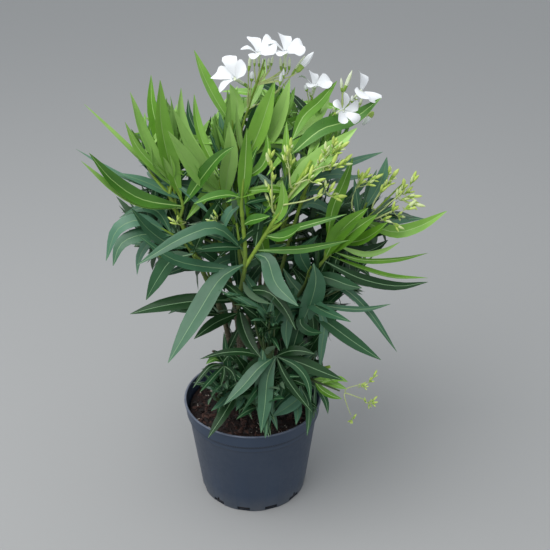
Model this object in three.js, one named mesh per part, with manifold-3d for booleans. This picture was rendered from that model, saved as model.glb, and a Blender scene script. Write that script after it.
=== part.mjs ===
// Potted oleander: a nursery pot of compost, a short woody stem, its boughs and the masses of
// leaves and blossom they carry. Millimetres, +Z up, the origin at the middle of the pot's underside.
import * as THREE from 'three';
import { mergeVertices } from 'three/addons/utils/BufferGeometryUtils.js';
import Module from 'manifold-3d';

const wasm = await Module();
wasm.setup();

// Clearance between pieces that touch.
const GAP = 0.3;

// The pot: a five-litre nursery pot.
const POT_HEIGHT = 170;
const POT_RIM_RADIUS = 111;
const POT_BASE_RADIUS = 87;
const POT_WALL = 2;
const POT_FLOOR = 3;
const LIP_HEIGHT = 3;
const LIP_OVERHANG = 1.6;
const BAND_HEIGHT = 23;
const BAND_DRAFT = 1.4;
const BAND_STEP = 3.4;
const LEDGE_DROP = 12;
const LEDGE_STEP = 1.2;
const POT_SEGMENTS = 32;

// Drain slots round the corner of the base.
const DRAIN_COUNT = 12;
const DRAIN_ANGLE = THREE.MathUtils.degToRad(14);
const DRAIN_PHASE = THREE.MathUtils.degToRad(20);
const DRAIN_HEIGHT = 5.5;
const DRAIN_INSET = 8;

// The compost, and how far it lies below the rim.
const COMPOST_BELOW_RIM = 18;
const COMPOST_LUMP = 2.2;
const COMPOST_FLAT_RADIUS = 30;

// The woody stem that the boughs leave.
const STEM_FOOT_RADIUS = 21;
const STEM_NECK_RADIUS = 13.5;
const STEM_HEIGHT = 34;
const STEM_SEGMENTS = 14;

// Boughs.
const BOUGH_SIDES = 7;
const BOUGH_STEPS = 8;
const SHOULDER_RADIUS = 22;
const SHOULDER_RISE = 20;

// Masses of leaves and blossom.
const MASS_DETAIL = 2;
const LEAF_TIPS = 12;
const TIP_REACH = 0.55;
const TIP_SHARPNESS = 22;
const CUT_GAP = GAP + 0.05;

const plastic = new THREE.MeshStandardMaterial({ color: 0x3a4658, roughness: 0.55, metalness: 0 });
const soil = new THREE.MeshStandardMaterial({ color: 0x2a1c1a, roughness: 0.95, metalness: 0 });
const bark = new THREE.MeshStandardMaterial({ color: 0x6b5a3e, roughness: 0.8, metalness: 0 });
const greenStem = new THREE.MeshStandardMaterial({ color: 0x7f9a3c, roughness: 0.6, metalness: 0 });
const oldLeaf = new THREE.MeshStandardMaterial({ color: 0x4b735f, roughness: 0.55, metalness: 0 });
const youngLeaf = new THREE.MeshStandardMaterial({ color: 0x6ea532, roughness: 0.5, metalness: 0 });
const bud = new THREE.MeshStandardMaterial({ color: 0xc8d778, roughness: 0.5, metalness: 0 });
const petal = new THREE.MeshStandardMaterial({ color: 0xebf5f8, roughness: 0.6, metalness: 0 });

// A repeatable run of numbers from 0 to 1.
function seededRandom(seed) {
  let state = seed;
  return () => {
    state = (state * 1664525 + 1013904223) % 4294967296;
    return state / 4294967296;
  };
}

// Closed three.js geometry to a solid that can be cut, and back.
function toSolid(geometry) {
  const bare = geometry.clone();
  bare.deleteAttribute('normal');
  bare.deleteAttribute('uv');
  const merged = mergeVertices(bare, 1e-4);
  return new wasm.Manifold(new wasm.Mesh({
    numProp: 3,
    vertProperties: new Float32Array(merged.attributes.position.array),
    triVerts: new Uint32Array(merged.index.array),
  }));
}

function toGeometry(solid) {
  const mesh = solid.getMesh();
  const geometry = new THREE.BufferGeometry();
  geometry.setAttribute('position', new THREE.BufferAttribute(new Float32Array(mesh.vertProperties), 3));
  geometry.setIndex(new THREE.BufferAttribute(new Uint32Array(mesh.triVerts), 1));
  geometry.computeVertexNormals();
  return geometry;
}

// A cut can leave crumbs, and only the largest piece is kept.
function largestPiece(solid) {
  const pieces = solid.decompose();
  return pieces.reduce((best, piece) => (piece.volume() > best.volume() ? piece : best));
}

function turned(points, segments) {
  const geometry = new THREE.LatheGeometry(points.map(([r, z]) => new THREE.Vector2(r, z)), segments);
  geometry.rotateX(Math.PI / 2);
  return geometry;
}

// The pot's wall, from the underside out and up, over the lip and back down inside.
const BODY_TOP_RADIUS = POT_RIM_RADIUS - LIP_OVERHANG - BAND_DRAFT - BAND_STEP;
const LEDGE_HEIGHT = POT_HEIGHT - BAND_HEIGHT - LEDGE_DROP;
const INNER_TOP_RADIUS = POT_RIM_RADIUS - LIP_OVERHANG - POT_WALL;

function bodyRadius(z) {
  const slope = (BODY_TOP_RADIUS - LEDGE_STEP - POT_BASE_RADIUS) / LEDGE_HEIGHT;
  return POT_BASE_RADIUS + slope * z;
}

function drainSlot(index) {
  const start = DRAIN_PHASE + (index * 2 * Math.PI) / DRAIN_COUNT - DRAIN_ANGLE / 2;
  const sector = new THREE.Shape();
  sector.absarc(0, 0, POT_BASE_RADIUS + DRAIN_INSET, start, start + DRAIN_ANGLE, false);
  sector.absarc(0, 0, POT_BASE_RADIUS - DRAIN_INSET, start + DRAIN_ANGLE, start, true);
  const slot = new THREE.ExtrudeGeometry(sector, {
    depth: DRAIN_HEIGHT + 1, bevelEnabled: false, curveSegments: 3,
  });
  slot.translate(0, 0, -1);
  return toSolid(slot);
}

function makePot() {
  const bandFoot = POT_HEIGHT - BAND_HEIGHT;
  const bandRadius = POT_RIM_RADIUS - LIP_OVERHANG;
  const profile = [
    [0, 0],
    [POT_BASE_RADIUS - 2, 0],
    [POT_BASE_RADIUS, 2],
    [bodyRadius(LEDGE_HEIGHT), LEDGE_HEIGHT],
    [BODY_TOP_RADIUS, LEDGE_HEIGHT + LEDGE_STEP],
    [BODY_TOP_RADIUS + 0.5, bandFoot],
    [bandRadius - BAND_DRAFT, bandFoot],
    [bandRadius, POT_HEIGHT - LIP_HEIGHT],
    [POT_RIM_RADIUS, POT_HEIGHT - LIP_HEIGHT + 0.8],
    [POT_RIM_RADIUS, POT_HEIGHT - 0.8],
    [POT_RIM_RADIUS - 1, POT_HEIGHT],
    [INNER_TOP_RADIUS, POT_HEIGHT],
    [INNER_TOP_RADIUS - BAND_DRAFT, bandFoot + 2],
    [BODY_TOP_RADIUS - POT_WALL, bandFoot - 2],
    [bodyRadius(LEDGE_HEIGHT) - POT_WALL, LEDGE_HEIGHT - 2],
    [bodyRadius(POT_FLOOR) - POT_WALL, POT_FLOOR],
    [0, POT_FLOOR],
  ];
  let pot = toSolid(turned(profile, POT_SEGMENTS));
  for (let i = 0; i < DRAIN_COUNT; i += 1) {
    pot = pot.subtract(drainSlot(i));
  }
  return toGeometry(pot);
}

// The compost fills the pot, lumpy on top but flat where the stem stands.
const COMPOST_TOP = POT_HEIGHT - COMPOST_BELOW_RIM;

function makeCompost() {
  const foot = POT_FLOOR + GAP;
  const edge = COMPOST_TOP - 4;
  const wallGap = POT_WALL + GAP + 0.1;
  const edgeRadius = BODY_TOP_RADIUS - wallGap;
  const profile = [
    [0, foot],
    [bodyRadius(foot) - wallGap, foot],
    [bodyRadius(LEDGE_HEIGHT) - wallGap, LEDGE_HEIGHT - 2],
    [edgeRadius - 0.4, LEDGE_HEIGHT + LEDGE_STEP * 2],
    [edgeRadius - 0.4, edge - 4],
    [edgeRadius * 0.84, edge],
    [edgeRadius * 0.66, edge + 2],
    [edgeRadius * 0.48, COMPOST_TOP - 1],
    [COMPOST_FLAT_RADIUS, COMPOST_TOP],
    [0, COMPOST_TOP],
  ];
  const geometry = turned(profile, POT_SEGMENTS);
  const position = geometry.attributes.position;
  for (let i = 0; i < position.count; i += 1) {
    const [x, y, z] = [position.getX(i), position.getY(i), position.getZ(i)];
    const radius = Math.hypot(x, y);
    if (radius > COMPOST_FLAT_RADIUS + 1 && z > edge - 1) {
      const lump = Math.sin(x * 0.19 + 1) * Math.cos(y * 0.23) + 0.5 * Math.sin(x * 0.41 - y * 0.37);
      position.setZ(i, z + COMPOST_LUMP * lump * 0.7);
    }
  }
  return toGeometry(toSolid(geometry));
}

// The stem stands on the compost, flared at its foot, and ends in a low dome.
const STEM_FOOT = COMPOST_TOP + GAP;

function stemSolid(grow) {
  const neck = STEM_NECK_RADIUS + grow;
  const profile = [
    [0, STEM_FOOT - grow],
    [STEM_FOOT_RADIUS + grow, STEM_FOOT - grow],
    [STEM_FOOT_RADIUS * 0.78 + grow, STEM_FOOT + STEM_HEIGHT * 0.18],
    [neck, STEM_FOOT + STEM_HEIGHT * 0.55],
    [neck * 0.94, STEM_FOOT + STEM_HEIGHT * 0.85],
    [neck * 0.55, STEM_FOOT + STEM_HEIGHT + grow],
    [0, STEM_FOOT + STEM_HEIGHT + grow],
  ];
  return toSolid(turned(profile, STEM_SEGMENTS));
}

// Boughs: the way each takes, its radius at foot and tip, and the mass that it ends in. Seven leave
// the stem, and the others fork from one of these, at a fraction of its length.
const boughs = [
  { name: 'bough_left', foot: 5, tip: 3.4, ends: 'leaves_top_left',
    path: [[-42, -14, 320], [-80, -18, 430], [-114, -20, 530]] },
  { name: 'bough_centre', foot: 5, tip: 2, ends: 'blossom_centre',
    path: [[-6, 3, 320], [-20, 6, 460], [-16, 8, 590], [22, 2, 722]] },
  { name: 'bough_front', foot: 5, tip: 3, ends: 'leaves_front',
    path: [[-14, -38, 280], [-17, -54, 372], [-6, -68, 448], [-10, -74, 540]] },
  { name: 'bough_right', foot: 5, tip: 2, ends: 'buds_right',
    path: [[46, -28, 310], [96, -46, 425], [160, -48, 500], [216, -28, 552]] },
  { name: 'bough_top_right', foot: 5, tip: 2, ends: 'blossom_right',
    path: [[36, 10, 340], [62, 12, 460], [96, 8, 570], [138, 0, 672]] },
  { name: 'bough_back_right', foot: 5, tip: 3, ends: 'leaves_back_right',
    path: [[18, 46, 330], [54, 84, 450], [84, 108, 560]] },
  { name: 'bough_back_left', foot: 5, tip: 3, ends: 'leaves_back_left',
    path: [[-28, 36, 320], [-58, 78, 450], [-78, 104, 560]] },
  { name: 'bough_front_right', forks: 'bough_front', at: 0.74, foot: 3.2, tip: 2.4,
    ends: 'leaves_front_right', path: [[27, -80, 504], [62, -82, 566], [84, -80, 604]] },
  { name: 'bough_back', forks: 'bough_back_right', at: 0.3, foot: 3.6, tip: 2.8,
    ends: 'leaves_mid_back', path: [[12, 84, 350], [16, 112, 390], [16, 140, 440]] },
  { name: 'bough_low_left', forks: 'bough_left', at: 0.17, foot: 3.6, tip: 2.6,
    ends: 'leaves_low_left', path: [[-64, -22, 270], [-88, -27, 292]] },
  { name: 'bough_low_right', forks: 'bough_right', at: 0.12, foot: 3.6, tip: 2.6,
    ends: 'leaves_low_right', path: [[52, -34, 232], [84, -50, 250], [120, -56, 262]] },
  { name: 'bough_low_front', forks: 'bough_front', at: 0.14, foot: 3.4, tip: 2.6,
    ends: 'leaves_low_front', path: [[12, -50, 240], [22, -72, 270], [28, -96, 300]] },
  { name: 'bough_low_back', forks: 'bough_back_right', at: 0.12, foot: 3.4, tip: 2.6,
    ends: 'leaves_low_back_right', path: [[30, 38, 232], [50, 56, 246], [76, 78, 262]] },
];

// A bough starts inside what carries it, and is cut to fit it below.
function boughCurve(bough) {
  const way = bough.path.map((p) => new THREE.Vector3(...p));
  if (bough.forks) {
    const parent = boughs.find((other) => other.name === bough.forks);
    return new THREE.CatmullRomCurve3([boughCurve(parent).getPointAt(bough.at), ...way]);
  }
  const upright = bough.name === 'bough_centre';
  const start = new THREE.Vector3(0, 0, STEM_FOOT + STEM_HEIGHT * (upright ? 0.7 : 0.3));
  const outward = new THREE.Vector3(way[0].x, way[0].y, 0).setLength(upright ? 2 : SHOULDER_RADIUS);
  const shoulder = start.clone().add(outward).setZ(start.z + SHOULDER_RISE);
  return new THREE.CatmullRomCurve3([start, shoulder, ...way]);
}

// A limb is a tapering cylinder laid along its curve.
function limbSolid(bough, grow) {
  const curve = boughCurve(bough);
  const limb = new THREE.CylinderGeometry(bough.tip + grow, bough.foot + grow, 1, BOUGH_SIDES, BOUGH_STEPS);
  limb.translate(0, 0.5, 0);
  const frames = curve.computeFrenetFrames(BOUGH_STEPS);
  const position = limb.attributes.position;
  for (let i = 0; i < position.count; i += 1) {
    const along = THREE.MathUtils.clamp(position.getY(i), 0, 1);
    const ring = Math.round(along * BOUGH_STEPS);
    const point = curve.getPointAt(along);
    point.addScaledVector(frames.binormals[ring], position.getX(i));
    point.addScaledVector(frames.normals[ring], position.getZ(i));
    position.setXYZ(i, point.x, point.y, point.z);
  }
  return toSolid(limb);
}

// Masses: centre, half size along X, Y and Z, and how far each narrows: above 0 towards its foot, as an
// upright fan of leaves does, and below 0 towards its top, as drooping leaves do.
const masses = [
  { name: 'leaves_top_left', at: [-140, -22, 590], half: [96, 82, 110], fan: 0.6, of: youngLeaf },
  { name: 'leaves_top_centre', at: [-22, 8, 606], half: [74, 74, 114], fan: 0.5, of: youngLeaf },
  { name: 'leaves_top_right', at: [104, 12, 578], half: [80, 78, 90], fan: 0.6, of: youngLeaf },
  { name: 'leaves_front', at: [-14, -92, 515], half: [62, 52, 84], fan: 0.5, of: youngLeaf },
  { name: 'leaves_front_right', at: [78, -88, 570], half: [66, 46, 78], fan: 0.5, of: youngLeaf },
  { name: 'leaves_right', at: [192, -40, 480], half: [90, 76, 74], fan: 0.3, of: youngLeaf },
  { name: 'leaves_back_left', at: [-82, 108, 560], half: [82, 74, 90], fan: 0.5, of: oldLeaf },
  { name: 'leaves_back_right', at: [84, 112, 565], half: [86, 74, 90], fan: 0.5, of: oldLeaf },
  { name: 'leaves_mid_left', at: [-152, 2, 420], half: [80, 84, 76], fan: -0.3, of: oldLeaf },
  { name: 'leaves_mid_front_left', at: [-98, -112, 400], half: [76, 62, 78], fan: -0.3, of: oldLeaf },
  { name: 'leaves_mid_front', at: [22, -122, 396], half: [60, 50, 72], fan: -0.2, of: oldLeaf },
  { name: 'leaves_mid_right', at: [138, -52, 362], half: [92, 80, 76], fan: -0.3, of: oldLeaf },
  { name: 'leaves_mid_back_left', at: [-98, 114, 412], half: [90, 78, 84], fan: -0.3, of: oldLeaf },
  { name: 'leaves_mid_back', at: [16, 148, 436], half: [66, 66, 84], fan: -0.2, of: oldLeaf },
  { name: 'leaves_mid_back_right', at: [124, 98, 424], half: [88, 78, 84], fan: -0.3, of: oldLeaf },
  { name: 'leaves_low_left', at: [-116, -34, 312], half: [72, 62, 60], fan: -0.3, of: oldLeaf },
  { name: 'leaves_low_right', at: [112, -56, 250], half: [80, 60, 62], fan: -0.3, of: oldLeaf },
  { name: 'leaves_low_front', at: [24, -98, 262], half: [60, 54, 78], fan: -0.3, of: oldLeaf },
  { name: 'leaves_low_front_left', at: [-60, -86, 238], half: [62, 56, 62], fan: -0.3, of: oldLeaf },
  { name: 'leaves_low_back_left', at: [-70, 70, 254], half: [74, 70, 76], fan: -0.3, of: oldLeaf },
  { name: 'leaves_low_back_right', at: [72, 74, 254], half: [76, 70, 76], fan: -0.3, of: oldLeaf },
  { name: 'blossom_centre', at: [24, 0, 724], half: [56, 42, 28], fan: 0.3, of: petal },
  { name: 'blossom_right', at: [140, 0, 672], half: [46, 38, 28], fan: 0.3, of: petal },
  { name: 'buds_right', at: [218, -26, 552], half: [34, 30, 30], fan: 0.3, of: bud },
];

// A mass is a ball drawn out into leaf tips, fitted to its size.
function massBall(mass, index) {
  const random = seededRandom(index * 7919 + 17);
  const tips = [];
  for (let i = 0; i < LEAF_TIPS; i += 1) {
    tips.push(new THREE.Vector3(random() - 0.5, random() - 0.5, random() - 0.5).normalize());
  }
  const ball = mergeVertices(bareBall());
  const position = ball.attributes.position;
  const direction = new THREE.Vector3();
  for (let i = 0; i < position.count; i += 1) {
    direction.fromBufferAttribute(position, i).normalize();
    let reach = 1;
    for (const tip of tips) {
      const near = Math.max(0, direction.dot(tip));
      reach = Math.max(reach, 1 + TIP_REACH * near ** TIP_SHARPNESS);
    }
    const height = direction.z * reach;
    const width = reach * (1 - (Math.abs(mass.fan) * (1 - Math.sign(mass.fan) * direction.z)) / 2);
    position.setXYZ(i, direction.x * width, direction.y * width, height);
  }
  ball.computeBoundingBox();
  const size = ball.boundingBox.getSize(new THREE.Vector3());
  const middle = ball.boundingBox.getCenter(new THREE.Vector3());
  ball.translate(-middle.x, -middle.y, -middle.z);
  ball.scale((2 * mass.half[0]) / size.x, (2 * mass.half[1]) / size.y, (2 * mass.half[2]) / size.z);
  return ball;
}

function bareBall() {
  const ball = new THREE.IcosahedronGeometry(1, MASS_DETAIL);
  ball.deleteAttribute('normal');
  ball.deleteAttribute('uv');
  return ball;
}

function reachAlong(mass, direction) {
  const [a, b, c] = mass.half;
  return 1 / Math.hypot(direction.x / a, direction.y / b, direction.z / c);
}

function boxesMeet(a, b) {
  return a.at.every((value, k) => Math.abs(value - b.at[k]) < a.half[k] + b.half[k]);
}

// Where two masses meet, each is cut back to a plane between them.
function massSolid(index, grow) {
  const mass = masses[index];
  const ball = massBall(mass, index);
  const position = ball.attributes.position;
  const direction = new THREE.Vector3();
  for (let i = 0; i < position.count; i += 1) {
    direction.fromBufferAttribute(position, i);
    direction.setLength(direction.length() + grow);
    position.setXYZ(i, direction.x, direction.y, direction.z);
  }
  ball.translate(...mass.at);
  let solid = toSolid(ball);
  const centre = new THREE.Vector3(...mass.at);
  for (const other of masses) {
    if (other === mass || !boxesMeet(mass, other)) {
      continue;
    }
    const towards = centre.clone().sub(new THREE.Vector3(...other.at));
    const distance = towards.length();
    towards.normalize();
    const ours = reachAlong(mass, towards);
    const theirs = reachAlong(other, towards);
    const split = (distance * theirs) / (ours + theirs);
    const offset = towards.dot(new THREE.Vector3(...other.at)) + split + GAP / 2 - grow;
    solid = solid.trimByPlane(towards.toArray(), offset);
  }
  return solid;
}

function meets(a, b) {
  return a.intersect(b).volume() > 1e-6;
}

const oleander = new THREE.Group();

function add(name, geometry, material) {
  const mesh = new THREE.Mesh(geometry, material);
  mesh.name = name;
  oleander.add(mesh);
}

add('pot', makePot(), plastic);
add('compost', makeCompost(), soil);
add('stem', toGeometry(stemSolid(0)), bark);

// Each bough is cut where it leaves the stem or another bough, and where it enters its mass.
const stemClear = stemSolid(CUT_GAP);
const boughSolids = new Map();
for (const bough of boughs) {
  const parent = boughs.find((other) => other.name === bough.forks);
  const from = parent ? limbSolid(parent, CUT_GAP) : stemClear;
  const goal = massSolid(masses.findIndex((mass) => mass.name === bough.ends), CUT_GAP);
  const limb = largestPiece(limbSolid(bough, 0).subtract(from).subtract(goal));
  boughSolids.set(bough.name, limb);
  const young = bough.name === 'bough_front_right' || bough.name === 'bough_low_right';
  add(bough.name, toGeometry(limb), young ? greenStem : bark);
}

// A bough that only passes a mass keeps its way, and the mass is cut round it.
masses.forEach((mass, index) => {
  let solid = massSolid(index, 0);
  for (const bough of boughs) {
    if (bough.ends !== mass.name && meets(solid, limbSolid(bough, CUT_GAP))) {
      solid = solid.subtract(limbSolid(bough, CUT_GAP));
    }
  }
  add(mass.name, toGeometry(largestPiece(solid)), mass.of);
});

export default oleander;
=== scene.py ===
# A potted oleander, as a garden centre sells it: a nursery pot of compost, a short woody stem and
# its boughs, and sprays of leaves, white blossom and buds. Metres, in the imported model's frame.
import math
import random

import bpy
import numpy as np
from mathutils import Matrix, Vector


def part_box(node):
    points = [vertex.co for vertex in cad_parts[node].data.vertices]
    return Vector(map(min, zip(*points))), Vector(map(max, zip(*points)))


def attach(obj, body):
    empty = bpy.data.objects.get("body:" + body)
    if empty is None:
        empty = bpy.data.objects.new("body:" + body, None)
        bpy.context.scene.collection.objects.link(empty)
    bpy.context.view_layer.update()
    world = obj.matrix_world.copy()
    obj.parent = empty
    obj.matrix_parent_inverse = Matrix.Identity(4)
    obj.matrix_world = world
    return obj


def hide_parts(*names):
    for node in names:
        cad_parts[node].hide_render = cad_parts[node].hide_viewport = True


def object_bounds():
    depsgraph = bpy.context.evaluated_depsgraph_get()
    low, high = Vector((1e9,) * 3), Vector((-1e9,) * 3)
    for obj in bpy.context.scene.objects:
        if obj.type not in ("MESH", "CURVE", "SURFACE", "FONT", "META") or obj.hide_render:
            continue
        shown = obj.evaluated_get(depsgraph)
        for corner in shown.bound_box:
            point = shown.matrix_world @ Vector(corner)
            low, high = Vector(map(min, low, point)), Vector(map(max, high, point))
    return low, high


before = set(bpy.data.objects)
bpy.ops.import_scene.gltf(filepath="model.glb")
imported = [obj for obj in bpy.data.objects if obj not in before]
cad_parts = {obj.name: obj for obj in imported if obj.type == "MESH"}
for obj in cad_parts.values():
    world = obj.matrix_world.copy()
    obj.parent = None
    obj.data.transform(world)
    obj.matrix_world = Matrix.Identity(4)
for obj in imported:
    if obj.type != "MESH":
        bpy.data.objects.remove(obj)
cad_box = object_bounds()

# The photograph's view: a hand-held camera a metre up that looks down on the plant. Places read from
# the photograph are pixels of its square frame, and seen() gives the point that shows at one.
PHOTO_SIDE = 550
FOCAL_PIXELS = 900
SENSOR_WIDTH = 36
CAMERA_PLACE = np.array((0.036, -1.197, 1.031))
CAMERA_PITCH = math.radians(28.16)

view_forward = np.array((0, math.cos(CAMERA_PITCH), -math.sin(CAMERA_PITCH)))
view_up = np.array((0, math.sin(CAMERA_PITCH), math.cos(CAMERA_PITCH)))
view_right = np.array((1.0, 0.0, 0.0))


def seen(px, py, depth):
    """The point that shows at a pixel of the photograph, on the upright plane y = depth."""
    across = (px - PHOTO_SIDE / 2) / FOCAL_PIXELS
    above = (PHOTO_SIDE / 2 - py) / FOCAL_PIXELS
    ray = view_forward + above * view_up + across * view_right
    return CAMERA_PLACE + ray * (depth - CAMERA_PLACE[1]) / ray[1]


def in_photo(points):
    """Where points show in the photograph, as rows of pixel across, pixel down and distance."""
    offset = np.asarray(points) - CAMERA_PLACE
    distance = offset @ view_forward
    across = PHOTO_SIDE / 2 + FOCAL_PIXELS * (offset @ view_right) / distance
    down = PHOTO_SIDE / 2 - FOCAL_PIXELS * (offset @ view_up) / distance
    return np.stack((across, down, distance), axis=-1)


camera_data = bpy.data.cameras.new("view")
camera_data.sensor_width = SENSOR_WIDTH
camera_data.lens = SENSOR_WIDTH * FOCAL_PIXELS / PHOTO_SIDE
camera = bpy.data.objects.new("view", camera_data)
camera.location = CAMERA_PLACE
camera.rotation_euler = (math.pi / 2 - CAMERA_PITCH, 0, 0)
bpy.context.scene.collection.objects.link(camera)
bpy.context.scene.camera = camera


# The studio: a plain pale floor, an even pale sky, and one large soft light high on the left, for the
# flat daylight that the plant stands in.
FLOOR_SIZE = 12
FLOOR_COLOUR = (0.42, 0.42, 0.415, 1)
SKY_COLOUR = (0.90, 0.95, 1.0, 1)
SKY_STRENGTH = 0.66
SOFT_LIGHT_PLACE = (-0.9, -0.8, 2.4)
SOFT_LIGHT_SIZE = 2.2
SOFT_LIGHT_WATTS = 42
SOFT_LIGHT_TURN = (math.radians(18), math.radians(-20), 0)
FLOOR_ROUGHNESS = 0.9

bpy.context.scene.view_settings.view_transform = "Standard"

sky = bpy.data.worlds.new("studio_sky")
sky.use_nodes = True
sky_light = sky.node_tree.nodes["Background"]
sky_light.inputs["Color"].default_value = SKY_COLOUR
sky_light.inputs["Strength"].default_value = SKY_STRENGTH
bpy.context.scene.world = sky

light_data = bpy.data.lights.new("soft_light", "AREA")
light_data.size = SOFT_LIGHT_SIZE
light_data.energy = SOFT_LIGHT_WATTS
soft_light = bpy.data.objects.new("soft_light", light_data)
soft_light.location = SOFT_LIGHT_PLACE
soft_light.rotation_euler = SOFT_LIGHT_TURN
bpy.context.scene.collection.objects.link(soft_light)

bpy.ops.object.select_all(action="DESELECT")
bpy.ops.mesh.primitive_plane_add(size=FLOOR_SIZE)
floor = bpy.context.object
floor.name = "studio_floor"
floor_finish = bpy.data.materials.new("studio_floor")
floor_finish.use_nodes = True
floor_skin = floor_finish.node_tree.nodes["Principled BSDF"]
floor_skin.inputs["Base Color"].default_value = FLOOR_COLOUR
floor_skin.inputs["Roughness"].default_value = FLOOR_ROUGHNESS
floor.data.materials.append(floor_finish)


# The nursery pot: thin injection-moulded polypropylene in slate blue, with a rolled lip, a stiff band
# under it, a ledge, and drain slots round the corner of the base. It stands on its flat underside.
POT_SIDES = 144
POT_WALL = 0.002
POT_FLOOR = 0.003
LIP_HEIGHT = 0.003
LIP_OVERHANG = 0.0016
BAND_HEIGHT = 0.023
BAND_DRAFT = 0.0014
BAND_STEP = 0.0034
LEDGE_DROP = 0.012
LEDGE_STEP = 0.0012
LEDGE_RISE = 1.5
LEDGE_LEAD = 0.0003
NECK_SPREAD = 0.0005
NECK_DROP = 0.0008
BAND_FOOT_SPREAD = 0.0012
BAND_EASE = 0.0006
INNER_ROUND = 0.001
INNER_EASE = 0.002
POT_BASE_RADIUS = 0.087
CORNER = 0.002
DRAIN_COUNT = 12
DRAIN_PHASE = math.radians(20)
DRAIN_WIDTH = 0.021
DRAIN_HEIGHT = 0.0085
DRAIN_DEPTH = 0.0036
NOTCH_WIDTH = 0.0035
NOTCH_HEIGHT = 0.0135
NOTCH_EVERY = 3
CUT_SPARE = 0.001
SLOT_SKIN = 0.0006
PLASTIC_BLUE = (0.024, 0.044, 0.084, 1)
PLASTIC_WORN = (0.060, 0.086, 0.130, 1)
# The lip's colour is partly wear and partly painted highlight.
PLASTIC_LIP_WEAR_AND_HIGHLIGHT = (0.20, 0.225, 0.29, 1)
# The next colour paints shade: under the band, along the ledge and inside the drain slots.
PLASTIC_PAINTED_SHADE = (0.008, 0.012, 0.022, 1)
PLASTIC_DUST = (0.20, 0.20, 0.19, 1)
DUST_TOP = 0.035
LIP_WEAR_AND_HIGHLIGHT_DEPTH = 0.0016
BAND_SHADE_DROP = 0.0010
BAND_SHADE_SPREAD = 0.0040
LEDGE_SHADE_SPREAD = 0.0022
POT_SMOOTH = math.radians(38)

pot_low, pot_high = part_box("pot")
POT_HEIGHT = pot_high.z
RIM_RADIUS = (pot_high.x - pot_low.x) / 2
band_radius = RIM_RADIUS - LIP_OVERHANG
body_radius = band_radius - BAND_DRAFT - BAND_STEP
band_foot = POT_HEIGHT - BAND_HEIGHT
ledge_height = band_foot - LEDGE_DROP


def wall_radius(height):
    """The outside of the pot's tapered wall, below its ledge."""
    slope = (body_radius - LEDGE_STEP - POT_BASE_RADIUS) / ledge_height
    return POT_BASE_RADIUS + slope * height


def rounded(radius, height, size, start, end, steps=5):
    """Points of an arc of a given size round a centre, from one angle to another."""
    angles = np.radians(np.linspace(start, end, steps))
    return [(radius + size * math.cos(a), height + size * math.sin(a)) for a in angles]


lip_round = LIP_HEIGHT / 2
pot_profile = [
    *rounded(POT_BASE_RADIUS - CORNER, CORNER, CORNER, -90, -8),
    (wall_radius(ledge_height), ledge_height),
    (body_radius - LEDGE_LEAD, ledge_height + LEDGE_STEP),
    (body_radius, ledge_height + LEDGE_STEP * LEDGE_RISE),
    (body_radius + NECK_SPREAD, band_foot - NECK_DROP),
    (body_radius + BAND_FOOT_SPREAD, band_foot),
    (band_radius - BAND_DRAFT - BAND_EASE, band_foot),
    (band_radius - BAND_DRAFT, band_foot + BAND_EASE),
    (band_radius, POT_HEIGHT - LIP_HEIGHT),
    *rounded(RIM_RADIUS - lip_round, POT_HEIGHT - lip_round, lip_round, -80, 90, 8),
    *rounded(band_radius - POT_WALL + INNER_ROUND, POT_HEIGHT - INNER_ROUND, INNER_ROUND, 90, 180, 4),
    (band_radius - POT_WALL - BAND_DRAFT, band_foot + INNER_EASE),
    (body_radius - POT_WALL, band_foot - INNER_EASE),
    (wall_radius(ledge_height) - POT_WALL, ledge_height - INNER_EASE),
    (wall_radius(POT_FLOOR) - POT_WALL, POT_FLOOR),
]


def select_only(piece):
    """Makes one object the selected and the active one."""
    bpy.ops.object.select_all(action="DESELECT")
    piece.select_set(True)
    bpy.context.view_layer.objects.active = piece


def turn_outwards():
    """Turns every face of the mesh in edit mode outwards, and leaves edit mode."""
    bpy.ops.mesh.select_all(action="SELECT")
    bpy.ops.mesh.normals_make_consistent(inside=False)
    bpy.ops.object.mode_set(mode="OBJECT")


def extrude_profile(profile, rise=1):
    """Extrudes the disc that is active through rings of radius and height."""
    bpy.ops.object.mode_set(mode="EDIT")
    bpy.ops.mesh.select_all(action="SELECT")
    reach, level = profile[0]
    for radius, height in profile[1:]:
        bpy.ops.mesh.extrude_region_move()
        bpy.ops.transform.translate(value=(0, 0, (height - level) * rise))
        bpy.ops.transform.resize(value=(radius / reach, radius / reach, 1), center_override=(0, 0, 0))
        reach, level = radius, height
    turn_outwards()


bpy.ops.object.select_all(action="DESELECT")
bpy.ops.mesh.primitive_circle_add(vertices=POT_SIDES, radius=pot_profile[0][0], fill_type="NGON")
pot = bpy.context.object
pot.name = "nursery_pot"
extrude_profile(pot_profile)

bpy.ops.object.select_all(action="DESELECT")
cutters = []
for place in range(DRAIN_COUNT):
    angle = -math.pi / 2 + DRAIN_PHASE + place * 2 * math.pi / DRAIN_COUNT
    notch = ((NOTCH_WIDTH, NOTCH_HEIGHT),) if place % NOTCH_EVERY == 1 else ()
    for width, height in ((DRAIN_WIDTH, DRAIN_HEIGHT), *notch):
        middle = (POT_BASE_RADIUS * math.cos(angle), POT_BASE_RADIUS * math.sin(angle),
                  height / 2 - CUT_SPARE)
        bpy.ops.mesh.primitive_cube_add(size=1, location=middle, rotation=(0, 0, angle))
        cutter = bpy.context.object
        cutter.scale = (DRAIN_DEPTH, width, height + 2 * CUT_SPARE)
        cutters.append(cutter)
for cutter in cutters:
    cutter.select_set(True)
bpy.ops.object.transform_apply(location=True, rotation=True, scale=True)
bpy.ops.object.join()
slot_cutter = bpy.context.object

slots = pot.modifiers.new("drain slots", "BOOLEAN")
slots.object = slot_cutter
slots.use_self = True
select_only(pot)
bpy.ops.object.modifier_apply(modifier=slots.name)
bpy.data.objects.remove(slot_cutter)
bpy.ops.object.shade_smooth_by_angle(angle=POT_SMOOTH)


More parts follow.
